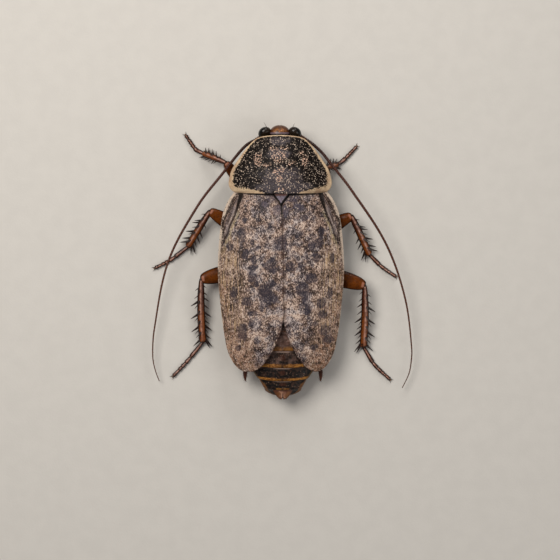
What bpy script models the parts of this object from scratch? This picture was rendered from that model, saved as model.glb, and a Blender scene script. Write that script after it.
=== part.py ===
"""A life-size lobster cockroach, a still museum model that rests on its six feet.

The head looks along +Y, +Z is up, and the feet stand on z = 0.
Every size below is in millimetres, and finish() brings each mesh to metres.
"""

import bisect
import math
import random

import bmesh
import bpy
from mathutils import Matrix, Vector

MM = 0.001
GAP = 0.3
HALF_GAP = GAP / 2
UP = Vector((0.0, 0.0, 1.0))
SIDEWAYS = Vector((1.0, 0.0, 0.0))
OUTWARD = {"left": -1.0, "right": 1.0}

# Colours: linear red, green, blue, then roughness.
COLOURS = {
    "shield": ((0.035, 0.028, 0.026), 0.45),
    "wing_cover": ((0.20, 0.155, 0.125), 0.55),
    "scutellum": ((0.10, 0.085, 0.095), 0.45),
    "abdomen": ((0.030, 0.018, 0.012), 0.30),
    "tail_plate": ((0.30, 0.14, 0.09), 0.40),
    "head": ((0.16, 0.065, 0.025), 0.35),
    "eye": ((0.008, 0.009, 0.007), 0.12),
    "chestnut": ((0.17, 0.045, 0.012), 0.28),
    "foot": ((0.07, 0.022, 0.010), 0.40),
    "feeler": ((0.055, 0.022, 0.016), 0.45),
    "underside": ((0.13, 0.060, 0.025), 0.40),
}

# Edges that bend by more than this angle are shaded sharp.
SHARP_ANGLE = math.radians(50.0)

# Shield over the front of the body: half-width at each Y, from the rear edge to the front edge.
SHIELD_X = -0.08
SHIELD_HALF_WIDTHS = [
    (7.10, 4.46), (7.20, 4.76), (7.42, 5.02), (7.75, 5.20), (8.20, 5.24), (9.45, 4.90),
    (10.45, 4.26), (11.70, 3.36), (12.30, 2.79), (12.65, 2.36),
]
SHIELD_FRONT_BULGE = 0.28
SHIELD_REAR_BULGE = 0.17
SHIELD_CROWN = [(6.9, 5.10), (9.0, 5.12), (11.0, 4.80), (12.9, 4.00)]
SHIELD_RIM = [(6.9, 3.42), (10.0, 3.40), (12.9, 3.65)]
SHIELD_DOME_POWER = 2.4
SHIELD_THICKNESS = 0.5
SHIELD_COLUMNS = 18
SHIELD_ROWS = 12
# How steeply the front and rear edges bow out towards the middle.
SHIELD_BULGE_POWER = 4

# Wing covers: each outline as (distance out from the mid-line, Y), front to tip.
COVER_OUTER = [
    (5.02, 6.78), (5.35, 6.40), (5.82, 5.30), (6.15, 3.60), (6.38, 1.00), (6.43, -1.00), (6.28, -3.20),
    (6.02, -5.60), (5.74, -7.60), (5.40, -9.15), (4.85, -10.25), (4.30, -10.85), (3.80, -11.12),
]
COVER_INNER = [
    (0.92, 6.62), (0.0, 5.45), (0.0, -6.10), (0.28, -7.00), (0.64, -8.20), (1.14, -9.25), (1.72, -10.10),
    (2.40, -10.78), (3.05, -11.10),
]
SEAM_X = 0.2
COVER_CROWN = [(6.8, 4.45), (4.0, 4.88), (0.0, 5.10), (-6.0, 4.80), (-11.2, 4.00), (-13.5, 3.38)]
COVER_DROP = 1.85
COVER_REACH = 6.4
COVER_DOME_POWER = 2.6
COVER_THICKNESS = 0.55
COVER_COLUMNS = 16
COVER_ROWS = 26
# Main veins run along columns of the plate, counted out from the seam; the groove beside the front edge too.
VEIN_COLUMNS = (3, 5, 7, 9, 11, 13)
VEIN_HEIGHT = 0.10
GROOVE_COLUMN = 14
GROOVE_DEPTH = 0.12
# The share of the wing cover's length that the groove takes; how wide the cover is where veins reach their height.
GROOVE_LENGTH = 0.35
FULL_VEIN_WIDTH = 3.5
VEIN_START_ROWS = 2

# Scutellum: the small triangle between the wing covers.
SCUTELLUM_FRONT = 6.62
SCUTELLUM_APEX = 5.95
SCUTELLUM_HALF_WIDTH = 0.50
SCUTELLUM_TOP = 4.52
SCUTELLUM_THICKNESS = 0.5
# Width of its blunt tip as a share of its front edge, and how far its middle stands up.
SCUTELLUM_TIP_SHARE = 0.12
SCUTELLUM_BOW = 0.05

# Trunk under the shield and the wing covers.
PROTHORAX_REAR = 7.3
PROTHORAX_FRONT = 11.65
PROTHORAX_HALF_WIDTH = 2.6
PROTHORAX_NARROWING = 0.42
PROTHORAX_DIP = 0.25
PROTHORAX_LEAN = 0.48
PROTHORAX_SHARES = (0.0, 0.25, 0.5, 0.75, 0.92, 1.0)
CHEST_BOTTOM = 2.3
THORAX_FRONT = 7.0
THORAX_REAR = 0.6
THORAX_HALF_WIDTH = 4.5
THORAX_NARROWING = 0.10
THORAX_EDGE = 2.70
THORAX_SHARES = (0.0, 0.25, 0.5, 0.75, 1.0)
TRUNK_SIDES = 24
# How full the rounding of a trunk ring is above and below its edge; the smaller, the fuller.
TOP_ROUNDING = 0.35
BELLY_ROUNDING = 0.75
# The trunk keeps this far under its roof, also under the roof a little further forward.
ROOF_CLEARANCE = 0.34
ROOF_REACH = 0.3

# Abdomen, set a little to the right: (Y, half-width, belly height) at stations.
# Its upper side keeps under the wing covers.
ABDOMEN_X = 0.2
ABDOMEN_STATIONS = [
    (0.30, 4.70, 2.30), (-2.30, 5.20, 2.20), (-4.40, 5.10, 1.12), (-6.00, 4.85, 0.98), (-8.90, 4.20, 1.00),
    (-10.50, 3.65, 1.05), (-11.20, 3.30, 1.06), (-12.00, 2.62, 1.08), (-12.55, 2.20, 1.08),
    (-13.00, 1.85, 1.10),
]
TERGITE_EDGES = [0.30, -1.60, -3.70, -5.55, -7.10, -9.05, -10.78, -12.10, -13.00]
TERGITE_STEP = 0.16
TERGITE_RINGS = 3
# Where the first and the last ring of a tergite stand, as shares of its length.
TERGITE_START = 0.06
TERGITE_END = 0.96
# How much of a tergite's step shows at the belly and at the sides.
BELLY_STEP_SHARE = 0.8
SIDE_STEP_SHARE = 0.6
# Height of the side edge between the belly and the roof.
ABDOMEN_EDGE_SHARE = 0.42
# The last belly plate reaches on under the supra-anal plate: (Y, half-width) with one flat top.
LAST_PLATE = [(-13.05, 1.80), (-13.35, 1.45), (-13.58, 0.95), (-13.66, 0.45)]
LAST_PLATE_TOP = 1.62
LAST_PLATE_BOTTOM = 1.12

# Supra-anal plate: two rounded lobes behind the last tergite.
TAIL_PLATE_CENTRE = 0.18
TAIL_PLATE_HALF_WIDTH = 0.96
TAIL_PLATE_FRONT = -13.28
TAIL_PLATE_REAR = -14.00
TAIL_PLATE_NOTCH = 0.16
TAIL_PLATE_NOTCH_WIDTH = 0.25
# How much it narrows to the rear, how far its rear corners are rounded off, and how far its sides fall.
TAIL_PLATE_TAPER = 0.42
TAIL_PLATE_ROUNDING = 0.22
TAIL_PLATE_BOW = 0.10
TAIL_PLATE_TOP = 2.62
TAIL_PLATE_FALL = 0.15
TAIL_PLATE_THICKNESS = 0.5

# Cerci: root and tip as (distance out from the abdomen's middle, Y, Z); both sides are alike.
CERCUS_ROOT = Vector((3.84, -10.95, 2.15))
CERCUS_TIP = Vector((3.86, -12.15, 1.95))
CERCUS_ROOT_RADIUS = 0.27
CERCUS_TIP_RADIUS = 0.07
CERCUS_SHARES = (0.0, 0.25, 0.5, 0.75, 1.0)
CERCUS_SIDES = 6

# Head: a hanging pear that leans its mouth back under the body.
HEAD_X = -0.12
HEAD_LEAN = math.radians(35.0)
VERTEX = Vector((HEAD_X, 13.62, 3.12))
FACE_DOWN = Vector((0.0, -math.sin(HEAD_LEAN), -math.cos(HEAD_LEAN)))
FACE_OUT = Vector((0.0, math.cos(HEAD_LEAN), -math.sin(HEAD_LEAN)))
# Distance down the face, half-width, half-depth.
HEAD_STATIONS = [
    (0.00, 0.44, 0.28), (0.14, 0.76, 0.52), (0.42, 1.02, 0.78), (0.90, 1.32, 0.94), (1.45, 1.48, 0.91),
    (1.90, 1.38, 0.80), (2.20, 1.18, 0.70), (2.48, 1.05, 0.58),
]
HEAD_SIDES = 20
LABRUM_STATIONS = [(2.80, 0.72, 0.42), (3.00, 0.70, 0.38), (3.20, 0.56, 0.28), (3.28, 0.40, 0.18)]
JAW_RADII = (0.42, 0.48, 0.50)
JAW_DOWN = 2.00
JAW_ACROSS = 0.92
EYE_RADII = (0.65, 0.53, 0.82)
EYE_DOWN = 0.96
EYE_ACROSS = 1.57
EYE_OUT = 0.08
BALL_LEVEL = 2
SOCKET_LEVEL = 3
LABRUM_SIDES = 12

# Mouth feelers: from beside the jaws, down and back.
PALP_POINTS = [(1.76, 12.15, 1.20), (1.85, 11.95, 0.72), (1.55, 11.55, 0.45), (1.25, 11.15, 0.38)]
PALP_RADIUS = 0.26
PALP_END_SHARE = 0.8
PALP_SWELL = 0.35
PALP_STEPS = 2
PALP_SIDES = 6

# Antennae: a stout first joint from the face, then one long curve divided into three lengths.
SCAPE_DOWN = 1.78
SCAPE_ACROSS = 0.8
SCAPE_BEND = (1.92, 13.34, 0.98)
SCAPE_END = (2.72, 12.66, 1.62)
SCAPE_RADIUS = 0.28
SCAPE_TAPER = 0.12
SCAPE_STEPS = 4
FEELER_POINTS = {
    "left": [
        (-2.72, 12.66, 1.62), (-3.46, 12.06, 2.14), (-4.31, 11.26, 2.53), (-5.12, 10.27, 2.72),
        (-5.82, 9.27, 2.82), (-8.50, 5.76, 2.75), (-11.54, 0.06, 2.00), (-13.00, -6.90, 1.30), (-13.16, -9.70, 1.05),
        (-12.90, -11.10, 0.90), (-12.50, -12.20, 0.75),
    ],
    "right": [
        (2.72, 12.66, 1.62), (3.36, 12.05, 2.14), (4.20, 11.23, 2.55), (5.18, 10.00, 2.77), (7.18, 7.38, 2.85),
        (10.74, 1.90, 2.15), (12.70, -3.60, 1.65), (13.42, -8.87, 1.15), (13.32, -10.60, 0.95),
        (13.08, -11.60, 0.85), (12.46, -12.88, 0.75),
    ],
}
FEELER_LENGTHS = {"base": (0.0, 0.30), "middle": (0.30, 0.66), "tip": (0.66, 1.0)}
FEELER_RADII = (0.28, 0.26)
FEELER_TIP_SHARE = 0.45
FEELER_STEP = 1.3
FEELER_CURVE_STEPS = 10
FEELER_SIDES = 8

# Legs: plan places of each joint, (X, Y), and of the foot's bends and end.
LEGS = {
    ("front", "left"): {
        "root": (-1.55, 9.00), "hip": (-2.96, 5.95), "knee": (-5.60, 10.17),
        "ankle": (-7.92, 11.20), "toes": [(-8.74, 11.60), (-9.80, 13.08)],
    },
    ("front", "right"): {
        "root": (1.55, 9.00), "hip": (2.96, 5.95), "knee": (3.96, 9.52),
        "ankle": (5.76, 10.05), "toes": [(6.30, 10.40), (7.76, 11.92)],
    },
    ("middle", "left"): {
        "root": (-1.30, 4.75), "hip": (-2.86, 2.27), "knee": (-7.25, 5.25),
        "ankle": (-9.54, 1.65), "toes": [(-11.41, 0.24), (-12.95, -0.55)],
    },
    ("middle", "right"): {
        "root": (1.30, 4.75), "hip": (2.75, 2.22), "knee": (7.19, 4.77),
        "ankle": (9.06, 0.85), "toes": [(10.40, -0.45), (11.80, -1.42)],
    },
    ("hind", "left"): {
        "root": (-1.30, 1.30), "hip": (-2.60, -0.62), "knee": (-8.14, -1.70),
        "ankle": (-8.02, -8.16), "toes": [(-9.68, -10.18), (-11.10, -11.68)],
    },
    ("hind", "right"): {
        "root": (1.30, 1.15), "hip": (2.75, -0.89), "knee": (8.55, -2.35),
        "ankle": (8.47, -8.67), "toes": [(9.60, -10.48), (11.20, -12.02)],
    },
}
# Plan width and thickness of each length, at its inner and outer end.
LEG_SIZES = {
    "front": {"coxa": (1.80, 0.95), "femur": (1.02, 0.78), "tibia": (0.60, 0.72)},
    "middle": {"coxa": (1.95, 1.05), "femur": (1.45, 0.92), "tibia": (0.64, 0.80)},
    "hind": {"coxa": (2.05, 1.15), "femur": (1.66, 0.98), "tibia": (0.68, 0.86)},
}
COXA_THICKNESS = 1.05
FEMUR_THICKNESS = 0.85
TIBIA_THICKNESS = 0.62
# Thickness at the outer end as a share of the inner end, and how far a femur swells in its middle.
COXA_THINNING = 0.9
FEMUR_THINNING = 0.8
TIBIA_THINNING = 0.95
FEMUR_SWELL = 0.06
COXA_Z = 1.47
HIP_Z = 1.47
KNEE_Z = 1.85
ANKLE_Z = 0.42
FOOT_HALF = 0.25
FOOT_SIDES = 8
LEG_SIDES = 12
LIMB_SHARES = (0.0, 0.12, 0.35, 0.62, 0.86, 1.0)
# Spines of the shin: how many on the outer and the inner edge.
SPINES = {"front": (6, 4), "middle": (7, 5), "hind": (9, 8)}
# Where the first and the last of them stand along the shin.
SPINE_SPAN = {"front": (0.22, 0.80), "middle": (0.16, 0.88), "hind": (0.10, 0.89)}
SPINE_LENGTH = (0.70, 0.95)
SPINE_ROOT_RADIUS = 0.20
SPINE_TIP_RADIUS = 0.035
SPINE_SIDES = 5
SPINE_LEAN = math.radians(42.0)
SPINE_LEAN_SPREAD = math.radians(7.0)
SPINE_LIFT = math.radians(16.0)
LAST_SPINE_LIFT = math.radians(20.0)
SPINE_SUNK = 0.24
CLAW_LENGTH = 0.62
CLAW_ROOT_RADIUS = 0.14
CLAW_TIP_RADIUS = 0.03
CLAW_SPREAD = math.radians(27.0)
CLAW_DROP = math.radians(9.0)
CLAW_SUNK = 0.16
CLAW_ROOT_REACH = 0.05
SEED = 28
ROW_SEEDS = 7
SHARE_SPREAD = 0.015
SPINE_LENGTH_DRAW = (0.6, 1.0)
TOE_JOINTS = 5
# Rings of one toe joint: the share along it and its width against the foot's half-width.
TOE_JOINT_RINGS = ((0.04, 1.0), (0.85, 1.16), (0.98, 1.02))
TOE_STEPS = 6
TOE_HEADING_REACH = 0.03


# Curves through a few places

def along(pairs, place):
    """The smooth value at a place, from (place, value) pairs."""
    pairs = sorted(pairs)
    places = [pair[0] for pair in pairs]
    values = [pair[1] for pair in pairs]
    if place <= places[0]:
        return values[0]
    if place >= places[-1]:
        return values[-1]
    i = bisect.bisect_right(places, place) - 1
    span = places[i + 1] - places[i]
    t = (place - places[i]) / span

    def slope(k):
        low, high = max(k - 1, 0), min(k + 1, len(places) - 1)
        return (values[high] - values[low]) / (places[high] - places[low])

    start, end = slope(i) * span, slope(i + 1) * span
    rise = values[i + 1] - values[i]
    return values[i] + t * start + t * t * (3 * rise - 2 * start - end) + t ** 3 * (start + end - 2 * rise)


def path_lengths(points):
    lengths = [0.0]
    for before, after in zip(points, points[1:]):
        lengths.append(lengths[-1] + (after - before).length)
    return lengths


def polyline_at(points, fraction):
    """The point a fraction of the way along straight runs."""
    lengths = path_lengths(points)
    want = fraction * lengths[-1]
    for i in range(len(points) - 1):
        if want <= lengths[i + 1] or i == len(points) - 2:
            t = (want - lengths[i]) / (lengths[i + 1] - lengths[i])
            return points[i].lerp(points[i + 1], t)


def smooth_path(points, steps):
    """Points along one smooth curve through the given ones, some steps for each run."""
    knots = path_lengths(points)
    count = (len(points) - 1) * steps
    curve = []
    for k in range(count + 1):
        place = knots[-1] * k / count
        curve.append(Vector([along(list(zip(knots, [p[axis] for p in points])), place) for axis in range(3)]))
    return curve


# Rings and lofts

def directions(heading):
    """Level sideways and upright directions for a ring across a heading."""
    across = heading.cross(UP).normalized()
    return across, across.cross(heading).normalized()


def ellipse(centre, across, upright, half_width, half_height, sides):
    """Corners of an elliptic ring that has a flat at its bottom."""
    turn = 2 * math.pi / sides
    angles = [turn * (i + 0.5) for i in range(sides)]
    return [centre + across * half_width * math.cos(a) + upright * half_height * math.sin(a) for a in angles]


def slide_to_plane(ring, heading, point, normal):
    """Moves a ring's corners along the heading until they lie on a plane."""
    return [corner + heading * ((point - corner).dot(normal) / heading.dot(normal)) for corner in ring]


def loft(rings):
    """One closed body: a ring of edges extruded from section to section, capped at both ends."""
    bm = bmesh.new()
    bmesh.ops.create_circle(bm, cap_ends=True, radius=1.0, segments=len(rings[0]))
    bm.verts.ensure_lookup_table()
    ring = list(bm.verts)
    edges = list(bm.edges)
    for vert, corner in zip(ring, rings[0]):
        vert.co = corner
    for corners in rings[1:]:
        grown = bmesh.ops.extrude_edge_only(bm, edges=edges)
        new_verts = [g for g in grown["geom"] if isinstance(g, bmesh.types.BMVert)]
        new_edges = {g for g in grown["geom"] if isinstance(g, bmesh.types.BMEdge)}
        partner = {}
        for vert in new_verts:
            for edge in vert.link_edges:
                other = edge.other_vert(vert)
                if other in ring:
                    partner[other] = vert
        ring = [partner[vert] for vert in ring]
        for vert, corner in zip(ring, corners):
            vert.co = corner
        fresh = set(ring)
        edges = [edge for edge in new_edges if edge.verts[0] in fresh and edge.verts[1] in fresh]
    bmesh.ops.contextual_create(bm, geom=edges)
    return bm


def ball(centre, radii, frame, level):
    """An ellipsoid with its radii along the three columns of a frame."""
    bm = bmesh.new()
    bmesh.ops.create_icosphere(bm, subdivisions=level, radius=1.0)
    stretch = Matrix.Diagonal((*radii, 1.0))
    bmesh.ops.transform(bm, matrix=Matrix.Translation(centre) @ frame.to_4x4() @ stretch, verts=bm.verts)
    return bm


def tube(points, radii, sides):
    """A closed tube along a path, with a radius for each point."""
    rings = []
    for i, point in enumerate(points):
        heading = (points[min(i + 1, len(points) - 1)] - points[max(i - 1, 0)]).normalized()
        across, upright = directions(heading)
        rings.append(ellipse(point, across, upright, radii[i], radii[i], sides))
    return loft(rings)


def panel(corner_at, columns, rows, thickness_at):
    """A curved plate with the same triangles above and below.

    corner_at(u, v) gives a point of the upper face, thickness_at(u, v) how far down the lower one lies.
    """
    bm = bmesh.new()
    bmesh.ops.create_grid(bm, x_segments=columns, y_segments=rows, size=0.5)
    share = {vert: (vert.co.x + 0.5, vert.co.y + 0.5) for vert in bm.verts}
    bmesh.ops.triangulate(bm, faces=bm.faces[:])
    upper = list(bm.verts)
    spots = [share[vert] for vert in upper]
    for vert, (u, v) in zip(upper, spots):
        vert.co = Vector((u, v, 0.0))
    grown = bmesh.ops.extrude_face_region(bm, geom=bm.faces[:])
    lower = [g for g in grown["geom"] if isinstance(g, bmesh.types.BMVert)]
    lower_spots = [(vert.co.x, vert.co.y) for vert in lower]
    for vert, (u, v) in zip(upper, spots):
        vert.co = corner_at(u, v)
    for vert, (u, v) in zip(lower, lower_spots):
        vert.co = corner_at(u, v) - UP * thickness_at(u, v)
    return bm


# Objects

def material(name):
    """A Principled material in one of the part's colours."""
    found = bpy.data.materials.get(name)
    if found:
        return found
    colour, roughness = COLOURS[name]
    made = bpy.data.materials.new(name)
    made.use_nodes = True
    shader = made.node_tree.nodes["Principled BSDF"]
    shader.inputs["Base Color"].default_value = (*colour, 1.0)
    shader.inputs["Roughness"].default_value = roughness
    shader.inputs["Metallic"].default_value = 0.0
    made.diffuse_color = (*colour, 1.0)
    return made


def to_object(name, bm):
    bmesh.ops.recalc_face_normals(bm, faces=bm.faces[:])
    mesh = bpy.data.meshes.new(name)
    bm.to_mesh(mesh)
    bm.free()
    made = bpy.data.objects.new(name, mesh)
    bpy.context.scene.collection.objects.link(made)
    return made


def combine(target, pieces, operation):
    """Joins or cuts a target by closed pieces in one exact Boolean, then removes the pieces."""
    group = bpy.data.collections.new("pieces")
    bpy.context.scene.collection.children.link(group)
    for piece in pieces:
        bpy.context.scene.collection.objects.unlink(piece)
        group.objects.link(piece)
    boolean = target.modifiers.new("combine", "BOOLEAN")
    boolean.operation = operation
    boolean.operand_type = "COLLECTION"
    boolean.collection = group
    boolean.solver = "EXACT"
    graph = bpy.context.evaluated_depsgraph_get()
    joined = bpy.data.meshes.new_from_object(target.evaluated_get(graph))
    target.modifiers.remove(boolean)
    target.data = joined
    for piece in pieces:
        bpy.data.objects.remove(piece)
    bpy.data.collections.remove(group)
    keep_largest_surface(joined)


def keep_largest_surface(mesh):
    """Leaves only the surface that has the most faces, without sealed hollows or loose scraps."""
    bm = bmesh.new()
    bm.from_mesh(mesh)
    left = set(bm.faces)
    surfaces = []
    while left:
        front = [left.pop()]
        surface = set(front)
        while front:
            face = front.pop()
            near = {other for edge in face.edges for other in edge.link_faces} & left
            left -= near
            surface |= near
            front.extend(near)
        surfaces.append(surface)
    surfaces.sort(key=len)
    scraps = [face for surface in surfaces[:-1] for face in surface]
    bmesh.ops.delete(bm, geom=scraps, context="FACES")
    bm.to_mesh(mesh)
    bm.free()


def finish(part, colour):
    """Gives a part its material and brings its mesh from millimetres to metres."""
    part.data.transform(Matrix.Scale(MM, 4))
    part.data.materials.clear()
    part.data.materials.append(material(colour))
    part.data.shade_smooth()
    part.data.set_sharp_from_angle(angle=SHARP_ANGLE)


# Heights of the two roofs

def shield_top(x, y):
    half_width = along(SHIELD_HALF_WIDTHS, y)
    crown, rim = along(SHIELD_CROWN, y), along(SHIELD_RIM, y)
    return crown - (crown - rim) * min(abs(x - SHIELD_X) / half_width, 1.0) ** SHIELD_DOME_POWER


def cover_top(x, y):
    return along(COVER_CROWN, y) - COVER_DROP * (abs(x) / COVER_REACH) ** COVER_DOME_POWER


# Shield, wing covers and scutellum

def build_shield():
    rear, front = SHIELD_HALF_WIDTHS[0][0], SHIELD_HALF_WIDTHS[-1][0]

    def corner_at(u, v):
        sideways = math.sin((u - 0.5) * math.pi)
        y = rear + (front - rear) * (1 - math.cos(v * math.pi)) / 2
        x = SHIELD_X + sideways * along(SHIELD_HALF_WIDTHS, y)
        bow = 1 - sideways ** 2
        y += bow * SHIELD_FRONT_BULGE * v ** SHIELD_BULGE_POWER
        y -= bow * SHIELD_REAR_BULGE * (1 - v) ** SHIELD_BULGE_POWER
        return Vector((x, y, shield_top(x, y)))

    plate = panel(corner_at, SHIELD_COLUMNS, SHIELD_ROWS, lambda u, v: SHIELD_THICKNESS)
    finish(to_object("pronotum", plate), "shield")


def vein_height(u, v, width):
    """How far a vein stands up, or the groove sinks, at a place on a wing cover."""
    column = round(u * COVER_COLUMNS)
    fade = min(1.0, width / FULL_VEIN_WIDTH) * min(1.0, v * COVER_ROWS / VEIN_START_ROWS)
    if column in VEIN_COLUMNS:
        return VEIN_HEIGHT * fade
    if column == GROOVE_COLUMN and v < GROOVE_LENGTH:
        return -GROOVE_DEPTH * fade * (1 - v / GROOVE_LENGTH)
    return 0.0


def build_wing_cover(side):
    """One wing cover; the seam between the two lies a little to the right of the mid-line."""
    outward = OUTWARD[side]
    seam = outward * SEAM_X + HALF_GAP
    outer = [Vector((x, y)) for x, y in COVER_OUTER]
    inner = [Vector((x + seam, y)) for x, y in COVER_INNER]

    def place_at(u, v):
        start, end = polyline_at(inner, v), polyline_at(outer, v)
        flat = start.lerp(end, u)
        x = outward * flat.x
        return Vector((x, flat.y, cover_top(x, flat.y))), (end - start).length

    def corner_at(u, v):
        corner, width = place_at(u, v)
        return corner + UP * vein_height(u, v, width)

    def thickness_at(u, v):
        return COVER_THICKNESS + vein_height(u, v, place_at(u, v)[1])

    plate = panel(corner_at, COVER_COLUMNS, COVER_ROWS, thickness_at)
    finish(to_object("tegmen_" + side, plate), "wing_cover")


def build_scutellum():
    def corner_at(u, v):
        half_width = SCUTELLUM_HALF_WIDTH * (SCUTELLUM_TIP_SHARE + (1 - SCUTELLUM_TIP_SHARE) * v)
        x = (2 * u - 1) * half_width
        y = SCUTELLUM_APEX + (SCUTELLUM_FRONT - SCUTELLUM_APEX) * v
        return Vector((x, y, SCUTELLUM_TOP - SCUTELLUM_BOW * (x / SCUTELLUM_HALF_WIDTH) ** 2))

    plate = panel(corner_at, 4, 3, lambda u, v: SCUTELLUM_THICKNESS)
    finish(to_object("scutellum", plate), "scutellum")


# Trunk

def trunk_ring(half_width, top_at, edge, bottom, y, lean=0.0):
    """A lens-shaped ring across the trunk: its top keeps under top_at(x), and its sides meet at the edge height.

    Lean tips the ring back as it rises.
    """
    corners = []
    for i in range(TRUNK_SIDES):
        angle = 2 * math.pi * (i + 0.5) / TRUNK_SIDES
        x = half_width * math.cos(angle)
        height = abs(math.sin(angle))
        if math.sin(angle) > 0:
            z = edge + (top_at(x) - edge) * height ** TOP_ROUNDING
        else:
            z = edge + (bottom - edge) * height ** BELLY_ROUNDING
        corners.append(Vector((x, y + lean * (z - CHEST_BOTTOM), z)))
    return corners


def build_prothorax():
    length = PROTHORAX_FRONT - PROTHORAX_REAR
    rings = []
    for share in PROTHORAX_SHARES:
        y = PROTHORAX_REAR + length * share
        half_width = PROTHORAX_HALF_WIDTH * (1 - PROTHORAX_NARROWING * share ** 3)
        lean = PROTHORAX_LEAN * share ** 2

        def top_at(x, y=y, share=share):
            clear = SHIELD_THICKNESS + ROOF_CLEARANCE + PROTHORAX_DIP * share ** 2
            return min(shield_top(x, y), shield_top(x, y + ROOF_REACH)) - clear

        edge = (top_at(half_width) + CHEST_BOTTOM) / 2
        rings.append(trunk_ring(half_width, top_at, edge, CHEST_BOTTOM, y, lean))
    finish(to_object("prothorax", loft(rings)), "underside")


def covered_top(x, y):
    """The highest that the trunk may reach under the wing covers."""
    return cover_top(x, y) - COVER_THICKNESS - ROOF_CLEARANCE


def build_thorax():
    rings = []
    for share in THORAX_SHARES:
        y = THORAX_REAR + (THORAX_FRONT - THORAX_REAR) * share
        half_width = THORAX_HALF_WIDTH * (1 - THORAX_NARROWING * share ** 2)

        def top_at(x, y=y):
            return min(covered_top(x, y), covered_top(x, y + ROOF_REACH))

        rings.append(trunk_ring(half_width, top_at, THORAX_EDGE, CHEST_BOTTOM, y))
    finish(to_object("thorax", loft(rings)), "underside")


def build_abdomen():
    """Raised plates above and below: each rises to its rear edge, then steps down to the next."""
    half_widths = [(y, half_width) for y, half_width, _ in ABDOMEN_STATIONS]
    bellies = [(y, belly) for y, _, belly in ABDOMEN_STATIONS]
    rings = []
    for front, rear in zip(TERGITE_EDGES, TERGITE_EDGES[1:]):
        for k in range(TERGITE_RINGS):
            share = k / (TERGITE_RINGS - 1)
            y = front + (rear - front) * (TERGITE_START + (TERGITE_END - TERGITE_START) * share)
            sunk = TERGITE_STEP * (1 - share)
            belly = along(bellies, y) + sunk * BELLY_STEP_SHARE
            half_width = along(half_widths, y) - sunk * SIDE_STEP_SHARE
            edge = belly + (covered_top(half_width, y) - belly) * ABDOMEN_EDGE_SHARE

            def top_at(x, y=y, sunk=sunk):
                return covered_top(x + ABDOMEN_X, y) - sunk

            rings.append(trunk_ring(half_width, top_at, edge, belly, y))
    for y, half_width in LAST_PLATE:
        edge = (LAST_PLATE_TOP + LAST_PLATE_BOTTOM) / 2
        rings.append(trunk_ring(half_width, lambda x: LAST_PLATE_TOP, edge, LAST_PLATE_BOTTOM, y))
    body = loft(rings)
    bmesh.ops.translate(body, vec=SIDEWAYS * ABDOMEN_X, verts=body.verts)
    finish(to_object("abdomen", body), "abdomen")


def build_tail_plate():
    def corner_at(u, v):
        across = 2 * u - 1
        half_width = TAIL_PLATE_HALF_WIDTH * (1 - TAIL_PLATE_TAPER * v ** 2)
        notch = TAIL_PLATE_NOTCH * math.exp(-((across / TAIL_PLATE_NOTCH_WIDTH) ** 2))
        round_off = TAIL_PLATE_ROUNDING * across ** 4
        rear = TAIL_PLATE_REAR + notch + round_off
        y = TAIL_PLATE_FRONT + (rear - TAIL_PLATE_FRONT) * v
        x = TAIL_PLATE_CENTRE + across * half_width
        return Vector((x, y, TAIL_PLATE_TOP - TAIL_PLATE_FALL * v - TAIL_PLATE_BOW * across ** 2))

    plate = panel(corner_at, 8, 4, lambda u, v: TAIL_PLATE_THICKNESS)
    finish(to_object("supra_anal_plate", plate), "tail_plate")


def build_cercus(side):
    flip = Vector((OUTWARD[side], 1.0, 1.0))
    root = CERCUS_ROOT * flip + SIDEWAYS * ABDOMEN_X
    tip = CERCUS_TIP * flip + SIDEWAYS * ABDOMEN_X
    points = [root.lerp(tip, share) for share in CERCUS_SHARES]
    radii = []
    for share in CERCUS_SHARES:
        radii.append(CERCUS_ROOT_RADIUS + (CERCUS_TIP_RADIUS - CERCUS_ROOT_RADIUS) * share ** 2)
    finish(to_object("cercus_" + side, tube(points, radii, CERCUS_SIDES)), "feeler")


# Head

def face_frame():
    return Matrix((SIDEWAYS, FACE_OUT, FACE_DOWN)).transposed()


def face_rings(stations, sides):
    rings = []
    for down, half_width, half_depth in stations:
        centre = VERTEX + FACE_DOWN * down
        rings.append(ellipse(centre, SIDEWAYS, FACE_OUT, half_width, half_depth, sides))
    return rings


def eye_centre(side):
    return VERTEX + FACE_DOWN * EYE_DOWN + FACE_OUT * EYE_OUT + SIDEWAYS * OUTWARD[side] * EYE_ACROSS


def build_head():
    head = to_object("head", loft(face_rings(HEAD_STATIONS, HEAD_SIDES)))
    jaws = []
    for side, outward in OUTWARD.items():
        centre = VERTEX + FACE_DOWN * JAW_DOWN + SIDEWAYS * outward * JAW_ACROSS
        jaws.append(to_object("jaw_" + side, ball(centre, JAW_RADII, face_frame(), BALL_LEVEL)))
    combine(head, jaws, "UNION")
    sockets = []
    for side in OUTWARD:
        radii = [radius + GAP for radius in EYE_RADII]
        sockets.append(to_object("socket_" + side, ball(eye_centre(side), radii, face_frame(), SOCKET_LEVEL)))
        eye = to_object("eye_" + side, ball(eye_centre(side), EYE_RADII, face_frame(), BALL_LEVEL))
        finish(eye, "eye")
    combine(head, sockets, "DIFFERENCE")
    finish(head, "head")
    finish(to_object("labrum", loft(face_rings(LABRUM_STATIONS, LABRUM_SIDES))), "head")


def build_palp(side):
    points = [Vector((HEAD_X + OUTWARD[side] * x, y, z)) for x, y, z in PALP_POINTS]
    path = smooth_path(points, PALP_STEPS)
    radii = []
    for i in range(len(path)):
        swell = PALP_SWELL * math.sin(math.pi * (i + 1) / (len(path) + 1))
        radii.append(PALP_RADIUS * (PALP_END_SHARE + swell))
    finish(to_object("palp_" + side, tube(path, radii, PALP_SIDES)), "chestnut")


# Antennae

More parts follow.
